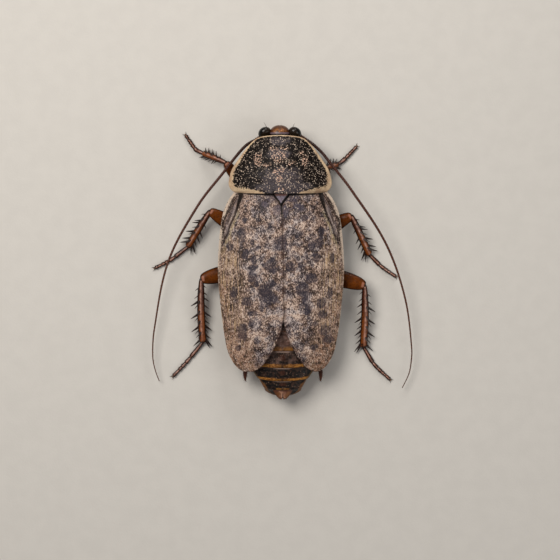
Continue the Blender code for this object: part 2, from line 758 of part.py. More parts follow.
def build_scape(side):
    outward = OUTWARD[side]
    root = VERTEX + FACE_DOWN * SCAPE_DOWN + SIDEWAYS * outward * SCAPE_ACROSS
    half_width = along([(s, w) for s, w, _ in HEAD_STATIONS], SCAPE_DOWN)
    half_depth = along([(s, d) for s, _, d in HEAD_STATIONS], SCAPE_DOWN)
    root += FACE_OUT * (half_depth * math.sqrt(1 - (SCAPE_ACROSS / half_width) ** 2) + GAP + SCAPE_RADIUS)
    bend = Vector((outward * SCAPE_BEND[0], *SCAPE_BEND[1:]))
    end = Vector((outward * SCAPE_END[0], *SCAPE_END[1:]))
    path = smooth_path([root, bend, end], SCAPE_STEPS)
    path[-1] -= (path[-1] - path[-2]).normalized() * HALF_GAP
    radii = [SCAPE_RADIUS * (1 - SCAPE_TAPER * i / (len(path) - 1)) for i in range(len(path))]
    finish(to_object("antenna_" + side + "_scape", tube(path, radii, FEELER_SIDES)), "feeler")


def build_feeler(side):
    """The long curve after the scape, in lengths that keep a gap from each other."""
    points = [Vector(point) for point in FEELER_POINTS[side]]
    fine = smooth_path(points, FEELER_CURVE_STEPS)
    total = path_lengths(fine)[-1]
    for name, (start, end) in FEELER_LENGTHS.items():
        low = start + HALF_GAP / total
        high = end - (HALF_GAP / total if end < 1 else 0)
        count = max(3, round((high - low) * total / FEELER_STEP))
        shares = [low + (high - low) * i / count for i in range(count + 1)]
        path = [polyline_at(fine, share) for share in shares]
        radii = [FEELER_RADII[0] + (FEELER_RADII[1] - FEELER_RADII[0]) * share for share in shares]
        if end == 1:
            radii[-1] *= FEELER_TIP_SHARE
        finish(to_object("antenna_" + side + "_" + name, tube(path, radii, FEELER_SIDES)), "feeler")


# Legs

def limb(start, end, planes, widths, thicknesses, swell=0.0):
    """A tapered length of leg; each end keeps half a gap from the plane through its joint, given by its normal."""
    heading = (end - start).normalized()
    across, upright = directions(heading)
    straight = []
    for share in LIMB_SHARES:
        half_width = (widths[0] + (widths[1] - widths[0]) * share) / 2 * (1 + swell * math.sin(math.pi * share))
        half_height = (thicknesses[0] + (thicknesses[1] - thicknesses[0]) * share) / 2
        straight.append(ellipse(start.lerp(end, share), across, upright, half_width, half_height, LEG_SIDES))
    first = slide_to_plane(straight[0], heading, start + planes[0] * HALF_GAP, planes[0])
    last = slide_to_plane(straight[-1], heading, end - planes[1] * HALF_GAP, planes[1])
    rings = []
    for share, ring in zip(LIMB_SHARES, straight):
        rings.append([
            corner + (near - near_plain) * (1 - share) + (far - far_plain) * share
            for corner, near, near_plain, far, far_plain in zip(ring, first, straight[0], last, straight[-1])
        ])
    return loft(rings)


def spike(root, heading, length, root_radius, tip_radius):
    """A closed tapered spine that starts at its root and runs along its heading."""
    bm = bmesh.new()
    bmesh.ops.create_cone(
        bm, cap_ends=True, segments=SPINE_SIDES, radius1=root_radius, radius2=tip_radius, depth=length,
    )
    turn = UP.rotation_difference(heading).to_matrix().to_4x4()
    centre = Matrix.Translation(root + heading * length / 2)
    bmesh.ops.transform(bm, matrix=centre @ turn, verts=bm.verts)
    return to_object("spike", bm)


def shin_spines(row, side, knee, ankle, widths):
    """Two rows of spines on a shin's edges, varied in length and lean, that point to the foot."""
    heading = (ankle - knee).normalized()
    across, upright = directions(heading)
    outer = across if across.x * OUTWARD[side] > 0 else -across
    if row == "front":
        outer = across if across.y > 0 else -across
    draw = random.Random(SEED + ROW_SEEDS * list(SPINES).index(row) + list(OUTWARD).index(side))
    first, last = SPINE_SPAN[row]
    spines = []
    for edge, count in zip((outer, -outer), SPINES[row]):
        for k in range(count):
            share = first + (last - first) * k / (count - 1) + draw.uniform(-SHARE_SPREAD, SHARE_SPREAD)
            lean = SPINE_LEAN + draw.uniform(-SPINE_LEAN_SPREAD, SPINE_LEAN_SPREAD)
            lift = draw.uniform(-SPINE_LIFT, SPINE_LIFT) * (1 - share) + LAST_SPINE_LIFT * share
            extra = (SPINE_LENGTH[1] - SPINE_LENGTH[0]) * share * draw.uniform(*SPINE_LENGTH_DRAW)
            length = SPINE_LENGTH[0] + extra
            half_width = (widths[0] + (widths[1] - widths[0]) * share) / 2
            root = knee.lerp(ankle, share) + edge * (half_width - SPINE_SUNK)
            aim = (heading * math.cos(lean) + edge * math.sin(lean)) * math.cos(lift) + upright * math.sin(lift)
            spines.append(spike(root, aim.normalized(), length, SPINE_ROOT_RADIUS, SPINE_TIP_RADIUS))
    return spines


def claws(tip, heading):
    pair = []
    for turn in (-CLAW_SPREAD, CLAW_SPREAD):
        aim = heading.copy()
        aim.rotate(Matrix.Rotation(turn, 3, "Z"))
        aim = (aim * math.cos(CLAW_DROP) - UP * math.sin(CLAW_DROP)).normalized()
        root = tip - heading * CLAW_SUNK + aim * CLAW_ROOT_REACH
        pair.append(spike(root, aim, CLAW_LENGTH, CLAW_ROOT_RADIUS, CLAW_TIP_RADIUS))
    return pair


def mitre(before, joint, after):
    """The normal of the plane that halves the bend at a joint."""
    return ((joint - before).normalized() + (after - joint).normalized()).normalized()


def build_foot(name, ankle, start_normal, toes):
    """The foot lies on the floor on a flat; each of its joints is widest near its far end."""
    floor_points = [Vector((ankle.x, ankle.y, FOOT_HALF))] + [Vector((x, y, FOOT_HALF)) for x, y in toes]
    fine = smooth_path(floor_points, TOE_STEPS)
    corner = FOOT_HALF / math.cos(math.pi / FOOT_SIDES)
    rings = []
    for k in range(TOE_JOINTS):
        for share, size in TOE_JOINT_RINGS:
            spot = (k + share) / TOE_JOINTS
            centre = polyline_at(fine, spot)
            before = polyline_at(fine, max(spot - TOE_HEADING_REACH, 0.0))
            after = polyline_at(fine, min(spot + TOE_HEADING_REACH, 1.0))
            across, upright = directions((after - before).normalized())
            rings.append(ellipse(centre, across, upright, corner * size, corner, FOOT_SIDES))
    heading = (fine[1] - fine[0]).normalized()
    start = Vector((ankle.x, ankle.y, FOOT_HALF)) + start_normal * HALF_GAP
    rings[0] = slide_to_plane(rings[0], heading, start, start_normal)
    foot = to_object(name, loft(rings))
    combine(foot, claws(fine[-1], (fine[-1] - fine[-2]).normalized()), "UNION")
    finish(foot, "foot")


def build_leg(row, side):
    places = LEGS[(row, side)]
    sizes = LEG_SIZES[row]
    name = row + "_" + side
    root = Vector((*places["root"], COXA_Z))
    hip = Vector((*places["hip"], HIP_Z))
    knee = Vector((*places["knee"], KNEE_Z))
    ankle = Vector((*places["ankle"], ANKLE_Z))
    toe = Vector((*places["toes"][0], FOOT_HALF))
    sideways = Vector((OUTWARD[side], 0.0, 0.0))
    coxa_heading = (hip - root).normalized()
    at_knee = mitre(hip, knee, ankle)
    at_ankle = mitre(knee, ankle, toe)
    coxa_thickness = (COXA_THICKNESS, COXA_THICKNESS * COXA_THINNING)
    coxa = limb(root, hip, (coxa_heading, sideways), sizes["coxa"], coxa_thickness)
    finish(to_object("coxa_" + name, coxa), "chestnut")
    femur_thickness = (FEMUR_THICKNESS, FEMUR_THICKNESS * FEMUR_THINNING)
    femur = limb(hip, knee, (sideways, at_knee), sizes["femur"], femur_thickness, FEMUR_SWELL)
    finish(to_object("femur_" + name, femur), "chestnut")
    tibia_thickness = (TIBIA_THICKNESS, TIBIA_THICKNESS * TIBIA_THINNING)
    shin = limb(knee, ankle, (at_knee, at_ankle), sizes["tibia"], tibia_thickness)
    tibia = to_object("tibia_" + name, shin)
    combine(tibia, shin_spines(row, side, knee, ankle, sizes["tibia"]), "UNION")
    finish(tibia, "chestnut")
    build_foot("tarsus_" + name, ankle, at_ankle, places["toes"])


def build():
    for old in list(bpy.data.objects):
        bpy.data.objects.remove(old)
    build_shield()
    build_scutellum()
    build_prothorax()
    build_thorax()
    build_abdomen()
    build_tail_plate()
    build_head()
    for side in OUTWARD:
        build_wing_cover(side)
        build_cercus(side)
        build_palp(side)
        build_scape(side)
        build_feeler(side)
    for row, side in LEGS:
        build_leg(row, side)


build()
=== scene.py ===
"""The looks of a life-size lobster cockroach, a still museum model on a pale floor.

The head looks along +Y, +Z is up, and the feet stand on z = 0. Sizes are in millimetres here, and
finish_piece() brings each mesh to metres.
"""

import bisect
import math
import random

import bmesh
import bpy
from mathutils import Matrix, Vector, kdtree, noise


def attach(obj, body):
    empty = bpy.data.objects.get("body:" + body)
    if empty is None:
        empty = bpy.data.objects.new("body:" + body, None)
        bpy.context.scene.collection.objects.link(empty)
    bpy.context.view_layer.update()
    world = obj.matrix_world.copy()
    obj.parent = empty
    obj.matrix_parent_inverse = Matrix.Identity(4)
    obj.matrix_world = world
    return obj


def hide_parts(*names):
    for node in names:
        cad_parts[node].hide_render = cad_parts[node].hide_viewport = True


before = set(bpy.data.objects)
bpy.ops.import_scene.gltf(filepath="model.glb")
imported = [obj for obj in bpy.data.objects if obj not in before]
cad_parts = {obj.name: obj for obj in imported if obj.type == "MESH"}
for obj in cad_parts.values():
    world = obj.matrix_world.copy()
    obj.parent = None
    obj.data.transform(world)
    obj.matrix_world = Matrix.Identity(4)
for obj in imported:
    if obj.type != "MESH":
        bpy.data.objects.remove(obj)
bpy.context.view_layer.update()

MM = 0.001
UP = Vector((0.0, 0.0, 1.0))
SIDEWAYS = Vector((1.0, 0.0, 0.0))
OUTWARD = {"left": -1.0, "right": 1.0}
CERCUS_SEED, PALP_SEED, FEELER_SEED, FOOT_SEED, TAIL_SEED, LEG_SEED = range(42, 48)


def closed(*pairs):
    """Widths at shares of a length, with both ends brought to nothing."""
    return [(0.0, 0.0), *pairs, (1.0, 0.0)]


# Camera, straight above.
VIEW_CENTRE = (-0.1, -1.8)
VIEW_WIDTH = 57.1
VIEW_HEIGHT = 3.0
LENS = 180.0
SENSOR = 36.0
# Each light's place, size, power and tint.
LIGHTS = {
    "key_light": ((-70.0, 60.0, 150.0), 105.0, 0.19, (1.0, 0.965, 0.92)),
    "fill_light": ((95.0, -40.0, 110.0), 90.0, 0.032, (1.0, 0.985, 0.96)),
    "rear_light": ((20.0, 110.0, 70.0), 60.0, 0.035, (1.0, 0.98, 0.95)),
}
SKY_TINT = (0.98, 0.97, 1.0)
SKY_STRENGTH = 0.17
FLOOR_HALF = 450.0

# Shield: half-width at each Y, from the rear edge to the front edge, and its heights.
SHIELD_X = -0.08
SHIELD_HALF_WIDTHS = [
    (7.1, 4.42), (7.2, 4.74), (7.42, 5.02), (7.75, 5.2), (8.2, 5.25), (9.45, 4.92), (10.45, 4.28),
    (11.7, 3.38), (12.3, 2.8), (12.55, 2.48), (12.7, 2.18), (12.78, 1.92),
]
SHIELD_REAR, SHIELD_REAR_HALF = SHIELD_HALF_WIDTHS[0]
SHIELD_FRONT_BULGE = 0.15
SHIELD_REAR_BULGE = 0.17
SHIELD_CROWN = [(6.9, 5.02), (7.6, 5.12), (9.0, 5.12), (11.0, 4.8), (12.9, 4.0)]
SHIELD_RIM = [(6.9, 3.42), (10.0, 3.4), (12.9, 3.65)]
SHIELD_DOME_POWER = 2.4
SHIELD_COLUMNS = 150
SHIELD_ROWS = 100
OUTLINE_STEPS = 160
SHIELD_BODY = 0.42
SHIELD_RIM_BODY = 0.16
SHIELD_REAR_BODY = 0.3
RIM_LIP = 0.045
# Width of the pale border at each Y of the side, and at each distance from the middle of the rear edge.
BORDER_SIDE = [(7.0, 0.66), (7.7, 0.58), (8.6, 0.4), (10.5, 0.25), (12.0, 0.15), (12.9, 0.1)]
BORDER_REAR = [(0.0, 0.04), (1.4, 0.09), (2.1, 0.2), (3.0, 0.38), (4.2, 0.62)]
# Clusters of warm specks on the shield, and its greyer middle: X, Y, half-width, half-length.
WARM_CLUSTERS = [
    (-0.2, 10.68, 0.7, 0.62), (-1.38, 9.88, 0.44, 0.24), (1.15, 10.0, 0.44, 0.26),
    (-0.28, 9.18, 0.58, 0.44), (-0.2, 8.45, 0.34, 0.4), (-0.25, 11.52, 1.1, 0.18),
    (2.45, 10.25, 0.34, 0.75), (2.1, 11.1, 0.3, 0.3), (-2.3, 10.4, 0.42, 0.75), (-0.1, 7.3, 0.5, 0.28),
]
GREY_MIDDLE = [(0.1, 8.5, 2.2, 1.25), (0.0, 7.6, 3.2, 0.7), (-0.2, 12.3, 1.1, 0.5), (-0.2, 11.0, 1.3, 0.6)]

# Wing covers, front to tip, with the front tucked under the shield: the outer outline as (distance from the
# middle, Y), the inner one as (distance from the seam, Y).
COVER_OUTER = [
    (4.4, 7.55), (4.84, 7.05), (5.1, 6.72), (5.34, 6.35), (5.68, 5.66), (5.93, 4.9), (6.17, 3.5),
    (6.38, 1.0), (6.43, -1.0), (6.28, -3.2), (6.02, -5.6), (5.74, -7.6), (5.4, -9.15), (4.85, -10.25),
    (4.3, -10.85), (3.8, -11.12),
]
COVER_INNER = [
    (0.98, 7.4), (0.84, 6.8), (0.44, 6.24), (0.12, 5.86), (0.0, 5.6), (0.0, 4.0), (0.0, -4.6),
    (0.0, -5.4), (0.05, -6.1), (0.2, -6.8), (0.45, -7.6), (0.8, -8.45), (1.22, -9.25), (1.76, -10.05),
    (2.42, -10.76), (3.1, -11.13),
]
# The seam's X at each Y, how far each cover laps over it up to where they part, and how far the right one
# dips under the left one.
SEAM = [(-11.0, 0.24), (0.5, 0.22), (2.8, 0.1), (4.2, 0.05), (5.5, -0.02), (7.4, -0.02)]
SEAM_LAP = {"left": 0.07, "right": 0.42}
SEAM_PARTS = (-6.3, -5.0)
RIGHT_UNDER_LAP = 0.22
COVER_CROWN = [(7.6, 4.5), (6.6, 4.52), (4.0, 4.88), (0.0, 5.1), (-6.0, 4.8), (-11.2, 4.0), (-13.5, 3.38)]
COVER_DROP = 1.85
COVER_REACH = 6.4
COVER_DOME_POWER = 2.6
COVER_TUCK = 0.34
COVER_BODY = 0.42
COVER_RIM_BODY = 0.1
COVER_COLUMNS = 128
COVER_ROWS = 300
VEIN_HEIGHT = 0.04
VEIN_HALF_WIDTH = 0.055
FURROW_DEPTH = 0.07
GROOVE_DEPTH = 0.13
GROOVE_HALF_WIDTH = 0.085
# The furrow of a wing cover in shares across and along.
FURROW = [(0.43, 0.0), (0.41, 0.1), (0.3, 0.24), (0.12, 0.35), (0.0, 0.4)]
# How far in from the outer edge the groove lies and the cream edge reaches, at each Y.
GROOVE_FROM_EDGE = [
    (1.4, 0.36), (1.8, 0.45), (2.3, 0.62), (2.9, 0.82), (3.4, 0.92), (3.85, 1.02), (4.4, 1.18),
    (5.2, 1.3), (6.4, 1.1), (7.2, 0.66),
]
CREAM_WIDTHS = [
    (-9.0, 0.08), (-1.0, 0.1), (0.6, 0.14), (1.5, 0.2), (3.2, 0.22), (3.45, 0.04), (4.6, 0.04),
    (4.85, 0.25), (7.2, 0.3),
]
# The fold that runs back from the groove: its distance from the middle at each Y.
FOLD_LINE = [(-8.0, 3.6), (-4.0, 4.05), (-0.6, 4.18), (2.0, 4.16), (3.9, 4.02), (7.0, 3.8)]
FOLD_HALF_WIDTH = 0.055
# Dark marks on the wing covers: X, Y, half-width, half-length.
COVER_MARKS = [
    (-0.06, 1.92, 0.72, 0.7), (-0.95, -0.4, 0.74, 0.72), (0.9, -0.5, 0.48, 0.52),
    (-1.72, -2.85, 0.7, 0.66), (-1.05, -3.65, 0.76, 0.7), (-1.4, -3.25, 0.72, 0.6),
    (-0.77, -2.2, 0.34, 0.3), (-2.85, -0.55, 0.48, 0.44), (2.1, -2.75, 0.62, 0.74),
    (2.7, -4.76, 0.4, 0.56), (2.45, -3.7, 0.34, 0.5), (3.15, -1.6, 0.55, 0.56), (-3.0, -1.5, 0.52, 0.5),
    (-2.45, -2.25, 0.36, 0.32), (-3.92, 2.85, 0.42, 0.76), (4.05, 2.95, 0.32, 0.56),
    (3.85, 1.95, 0.38, 0.52), (-2.9, 2.05, 0.24, 0.3), (-3.65, 0.9, 0.36, 0.5), (-2.75, 0.2, 0.28, 0.5),
    (3.1, 1.6, 0.4, 0.44), (3.6, 0.5, 0.42, 0.52), (-3.5, -4.0, 0.52, 0.46), (-1.95, -4.7, 0.26, 0.34),
    (4.1, -4.15, 0.52, 0.54), (-4.8, -3.1, 0.36, 0.58), (5.03, -2.95, 0.34, 0.52),
    (-3.95, -7.15, 0.54, 0.92), (-3.02, -6.1, 0.34, 0.36), (4.45, -6.9, 0.6, 0.7),
    (4.85, -7.75, 0.56, 0.52), (3.52, -6.15, 0.28, 0.34), (-2.2, 1.5, 0.26, 0.18), (-2.9, -5.2, 0.4, 0.3),
    (-5.2, 1.6, 0.3, 0.5), (1.95, -0.3, 0.3, 0.3), (5.2, 0.5, 0.28, 0.6), (3.4, -8.6, 0.4, 0.3),
    (-3.7, 4.3, 0.28, 0.32), (-2.3, 4.3, 0.24, 0.2), (2.4, 4.5, 0.3, 0.32), (4.2, -5.3, 0.5, 0.4),
    (-1.1, 3.6, 0.16, 0.14), (1.6, 2.6, 0.22, 0.18), (-4.3, -8.7, 0.3, 0.3), (-2.5, -8.0, 0.26, 0.36),
]
# Greyer patches beside the scutellum, the darker shoulders, and the paler places beside the seam.
COVER_GREY = [
    (-1.15, 6.55, 0.66, 0.42), (1.2, 6.5, 0.72, 0.48), (-0.44, 5.25, 0.5, 0.6), (0.42, 5.25, 0.5, 0.58),
    (1.85, 5.6, 0.55, 0.4), (-1.7, 5.9, 0.45, 0.35),
]
COVER_SHOULDERS = [(-3.8, 6.2, 1.0, 1.2), (3.9, 6.2, 0.9, 1.2), (-3.9, 4.4, 0.7, 1.4), (4.0, 4.4, 0.6, 1.4)]
COVER_PALE = [(-0.6, -5.2, 0.9, 1.4), (1.3, -4.9, 0.7, 1.3), (-0.5, 0.6, 0.5, 0.6), (1.0, -7.2, 0.5, 0.9)]

# Scutellum.
SCUTELLUM_FRONT = 7.2
SCUTELLUM_APEX = 5.92
SCUTELLUM_HALF_WIDTH = 0.95
SCUTELLUM_TOP = 4.56
SCUTELLUM_BODY = 0.25
SCUTELLUM_GRID = 40

# Trunk.
PROTHORAX_REAR = 7.3
PROTHORAX_FRONT = 11.75
PROTHORAX_HALF_WIDTH = 2.6
PROTHORAX_LEAN = 0.48
CHEST_BOTTOM = 2.3
THORAX_FRONT = 7.25
THORAX_REAR = 0.35
THORAX_HALF_WIDTH = 4.5
THORAX_EDGE = 2.7
PROTHORAX_RINGS = 36
THORAX_RINGS = 52
# Where the seams of the underside start, before each pair of legs.
PROTHORAX_SEAMS = (10.6, 8.4)
THORAX_SEAMS = (6.3, 4.1, 2.0)
TRUNK_SIDES = 88
ROOF_CLEARANCE = 0.7

# Abdomen: (Y, half-width, belly height); the top follows the wing covers.
ABDOMEN_STATIONS = [
    (0.45, 4.7, 2.3), (-2.3, 5.2, 2.2), (-4.4, 5.1, 1.12), (-6.0, 4.85, 0.98), (-8.9, 4.2, 1.0),
    (-10.5, 3.65, 1.05), (-11.2, 3.26, 1.06), (-12.0, 2.68, 1.08), (-12.55, 2.3, 1.08),
    (-13.05, 1.98, 1.1),
]
ABDOMEN_X = 0.2
PLATE_EDGES = [0.45, -1.6, -3.7, -5.55, -7.1, -9.05, -10.78, -12.15, -13.05]
PLATE_STEP = 0.15
PLATE_BOW = 0.26
ABDOMEN_EDGE_SHARE = 0.42
# The last plate's rings: Y, half-width, top and bottom.
LAST_PLATE = [
    (-13.1, 1.84, 2.26, 1.1), (-13.2, 1.72, 2.14, 1.11), (-13.32, 1.54, 2.02, 1.13),
    (-13.44, 1.3, 1.88, 1.16), (-13.56, 0.98, 1.72, 1.21), (-13.64, 0.66, 1.6, 1.27),
    (-13.68, 0.36, 1.52, 1.33),
]

# Lobes behind the last plate, and the cerci.
TAIL_CENTRE = 0.18
TAIL_HALF_WIDTH = 1.04
TAIL_FRONT = -12.9
TAIL_REAR = -14.0
TAIL_NOTCH = 0.16
TAIL_TOP = 2.66
CERCUS_ROOT = Vector((3.8, -10.75, 2.18))
CERCUS_TIP = Vector((3.84, -12.15, 1.95))
CERCUS_RADII = [(0.0, 0.1728), (0.25, 0.24), (0.6, 0.1872), (0.9, 0.096), (1.0, 0.0432)]
CERCUS_JOINTS = 9
TAIL_BRISTLES = 26

# Head: a hanging pear that leans its mouth back under the body.
HEAD_X = -0.12
HEAD_LEAN = math.radians(35.0)
VERTEX = Vector((HEAD_X, 13.62, 3.12))
FACE_DOWN = Vector((0.0, -math.sin(HEAD_LEAN), -math.cos(HEAD_LEAN)))
FACE_OUT = Vector((0.0, math.cos(HEAD_LEAN), -math.sin(HEAD_LEAN)))
# Distance down the face, half-width, half-depth.
HEAD_STATIONS = [
    (-0.02, 0.26, 0.18), (0.05, 0.52, 0.38), (0.16, 0.74, 0.56), (0.42, 0.94, 0.8), (0.9, 1.08, 0.97),
    (1.45, 1.28, 0.93), (1.9, 1.34, 0.8), (2.2, 1.2, 0.7), (2.48, 1.02, 0.56), (2.62, 0.86, 0.46),
]
HEAD_SIDES = 72
HEAD_RINGS = 56
EYE_RADII = (0.74, 0.57, 0.83)
EYE_TURN = math.radians(20.0)
EYE_DOWN = 0.9
EYE_ACROSS = 1.47
EYE_OUT = 0.08
FACET_RISE = 0.006
LIP_STATIONS = [
    (2.52, 0.62, 0.3), (2.66, 0.74, 0.4), (2.9, 0.74, 0.41), (3.1, 0.66, 0.34), (3.24, 0.5, 0.24),
    (3.29, 0.34, 0.14),
]
SIMPLE_EYE_DOWN = 1.42
SIMPLE_EYE_ACROSS = 0.52
SIMPLE_EYE_RADII = (0.15, 0.0675, 0.15)
HEAD_BRISTLES = [((-1.3, 13.48, 2.72), (-1.76, 14.34, 3.1)), ((1.06, 13.48, 2.72), (1.42, 14.24, 3.1))]
HEAD_BRISTLE_RADIUS = 0.045
JAW_DOWN = 2.3
JAW_POINTS = [
    (-0.35, 1.0, 0.05), (0.05, 1.16, 0.1), (0.45, 0.98, 0.1), (0.8, 0.62, 0.06), (0.98, 0.34, 0.02),
]
JAW_RADII = [(0.0, 0.2), (0.2, 0.4), (0.5, 0.36), (0.8, 0.22), (1.0, 0.05)]
LOWER_LIP_POINTS = [(1.5, -0.8), (2.1, -0.72), (2.7, -0.48), (3.05, -0.3), (3.18, -0.22)]
LOWER_LIP_HALF_WIDTHS = [(0.0, 0.1), (0.1, 0.62), (0.45, 0.85), (0.8, 0.62), (1.0, 0.12)]
LOWER_LIP_HALF_DEPTHS = [(0.0, 0.05), (0.2, 0.24), (0.7, 0.24), (1.0, 0.06)]
MOUTH_STEPS = {"upper lip": 18, "jaw": 14, "lower lip": 20}
SCAPE_DOWN = 1.78
SCAPE_ACROSS = 0.8
SCAPE_BEND = (1.66, 13.12, 0.86)
SCAPE_END = (2.6, 12.56, 1.58)
SCAPE_RADII = [(0.0, 0.2064), (0.35, 0.24), (0.62, 0.252), (0.7, 0.192), (1.0, 0.168)]
SCAPE_JOINTS = (0.0, 0.66, 0.84, 1.0)
PALP_POINTS = [
    (1.02, 12.55, 1.18), (1.72, 12.28, 1.22), (1.88, 11.95, 0.78), (1.58, 11.55, 0.46),
    (1.25, 11.1, 0.34),
]
PALP_RADII = [(0.0, 0.17), (0.3, 0.17), (0.6, 0.19), (0.88, 0.22), (1.0, 0.16)]
PALP_JOINTS = (0.0, 0.12, 0.26, 0.5, 0.74, 1.0)
LOWER_PALP_POINTS = [(0.42, 12.1, 0.85), (0.62, 11.75, 0.55), (0.52, 11.4, 0.36)]
LOWER_PALP_RADII = [(0.0, 0.11), (0.7, 0.14), (1.0, 0.1)]
LOWER_PALP_JOINTS = (0.0, 0.3, 0.62, 1.0)

# How the joints of a ringed tube swell: the share of its radius at each share of a joint.
JOINT_SWELL = ((0.0, 0.8), (0.14, 0.97), (0.8, 1.0), (0.96, 0.88))
PALP_SWELL = ((0.0, 0.62), (0.1, 0.84), (0.45, 0.95), (0.85, 1.06), (0.96, 0.8))
SCAPE_SWELL = ((0.0, 0.66), (0.06, 0.84), (0.2, 0.96), (0.8, 1.04), (0.93, 0.92), (0.985, 0.66))
FOOT_SWELL = ((0.0, 0.62), (0.06, 0.78), (0.3, 0.86), (0.72, 0.98), (0.9, 1.08), (0.97, 0.86))

# Antennae: the long curve after the first joint.
FEELER_POINTS = {
    "left": [
        (-2.6, 12.56, 1.58), (-3.45, 12.06, 2.12), (-4.25, 11.24, 2.45), (-5.8, 9.26, 2.75),
        (-8.5, 5.76, 2.75), (-11.54, 0.06, 2.0), (-13.0, -6.9, 1.3), (-13.16, -9.7, 1.05),
        (-12.9, -11.1, 0.9), (-12.5, -12.2, 0.75),
    ],
    "right": [
        (2.6, 12.56, 1.58), (3.3, 12.05, 2.12), (4.18, 11.22, 2.45), (5.16, 9.98, 2.72),
        (7.18, 7.38, 2.85), (10.74, 1.9, 2.15), (12.7, -3.6, 1.65), (13.42, -8.87, 1.15),
        (13.32, -10.6, 0.95), (13.08, -11.6, 0.85), (12.46, -12.88, 0.75),
    ],
}
FEELER_RADII = [(0.0, 0.165), (0.1, 0.155), (0.45, 0.128), (0.8, 0.086), (1.0, 0.044)]
FEELER_RINGS = 96
FEELER_SIDES = 12
FEELER_FIRST_RING = 0.35

# Legs: plan places of each joint, (X, Y), and of the foot's bends and end.
LEGS = {
    ("front", "left"): {
        "root": (-1.55, 9.0), "hip": (-2.96, 5.95), "knee": (-5.6, 10.17),
        "ankle": (-7.92, 11.2), "toes": [(-8.74, 11.6), (-9.8, 13.08)],
    },
    ("front", "right"): {
        "root": (1.55, 9.0), "hip": (2.96, 5.95), "knee": (3.96, 9.52),
        "ankle": (5.76, 10.05), "toes": [(6.3, 10.4), (7.76, 11.92)],
    },
    ("middle", "left"): {
        "root": (-1.3, 4.75), "hip": (-2.86, 2.27), "knee": (-7.25, 5.25),
        "ankle": (-9.54, 1.65), "toes": [(-11.41, 0.24), (-12.95, -0.55)],
    },
    ("middle", "right"): {
        "root": (1.3, 4.75), "hip": (2.75, 2.22), "knee": (7.19, 4.77),
        "ankle": (9.06, 0.85), "toes": [(10.4, -0.45), (11.8, -1.42)],
    },
    ("hind", "left"): {
        "root": (-1.3, 1.3), "hip": (-2.6, -0.62), "knee": (-8.14, -1.7),
        "ankle": (-8.02, -8.16), "toes": [(-9.68, -10.18), (-11.1, -11.68)],
    },
    ("hind", "right"): {
        "root": (1.3, 1.15), "hip": (2.75, -0.89), "knee": (8.55, -2.35),
        "ankle": (8.47, -8.67), "toes": [(9.6, -10.48), (11.2, -12.02)],
    },
}
# Width of each length of leg at each share of it, inner end first; both ends close to nothing.
HIP_WIDTHS = {
    "front": closed((0.02, 0.8), (0.08, 1.42), (0.22, 1.66), (0.55, 1.38), (0.85, 1.1), (0.96, 0.74)),
    "middle": closed((0.02, 0.86), (0.08, 1.54), (0.22, 1.8), (0.55, 1.52), (0.85, 1.2), (0.96, 0.8)),
    "hind": closed((0.02, 0.9), (0.08, 1.62), (0.22, 1.9), (0.55, 1.62), (0.85, 1.3), (0.96, 0.88)),
}
THIGH_WIDTHS = {
    "front": closed(
        (0.012, 0.4), (0.05, 0.68), (0.15, 0.9), (0.4, 1.1), (0.65, 1.14), (0.85, 1.06), (0.94, 0.86),
        (0.98, 0.6),
    ),
    "middle": closed(
        (0.012, 0.5), (0.05, 0.85), (0.15, 1.14), (0.4, 1.5), (0.62, 1.54), (0.75, 1.42), (0.87, 1.16),
        (0.95, 0.9), (0.985, 0.6),
    ),
    "hind": closed(
        (0.012, 0.55), (0.05, 0.95), (0.15, 1.3), (0.4, 1.74), (0.62, 1.74), (0.75, 1.62), (0.87, 1.38),
        (0.95, 1.04), (0.985, 0.7),
    ),
}
SHIN_WIDTHS = {
    "front": closed(
        (0.012, 0.28), (0.04, 0.42), (0.09, 0.46), (0.3, 0.58), (0.6, 0.64), (0.9, 0.66), (0.955, 0.7),
        (0.985, 0.5),
    ),
    "middle": closed(
        (0.012, 0.34), (0.04, 0.5), (0.09, 0.58), (0.3, 0.7), (0.6, 0.76), (0.9, 0.73), (0.955, 0.77),
        (0.985, 0.54),
    ),
    "hind": closed(
        (0.012, 0.34), (0.04, 0.48), (0.09, 0.56), (0.2, 0.69), (0.35, 0.77), (0.6, 0.83), (0.9, 0.8),
        (0.955, 0.84), (0.985, 0.6),
    ),
}
COXA_THICKNESS = 1.05
FEMUR_THICKNESS = 0.85
TIBIA_THICKNESS = 0.58
COXA_Z = 1.47
KNEE_Z = 1.85
ANKLE_Z = 0.42
LEG_SIDES = 28
SHIN_BOW = {"front": 0.02, "middle": 0.04, "hind": 0.12}
THIGH_BOW = 0.08
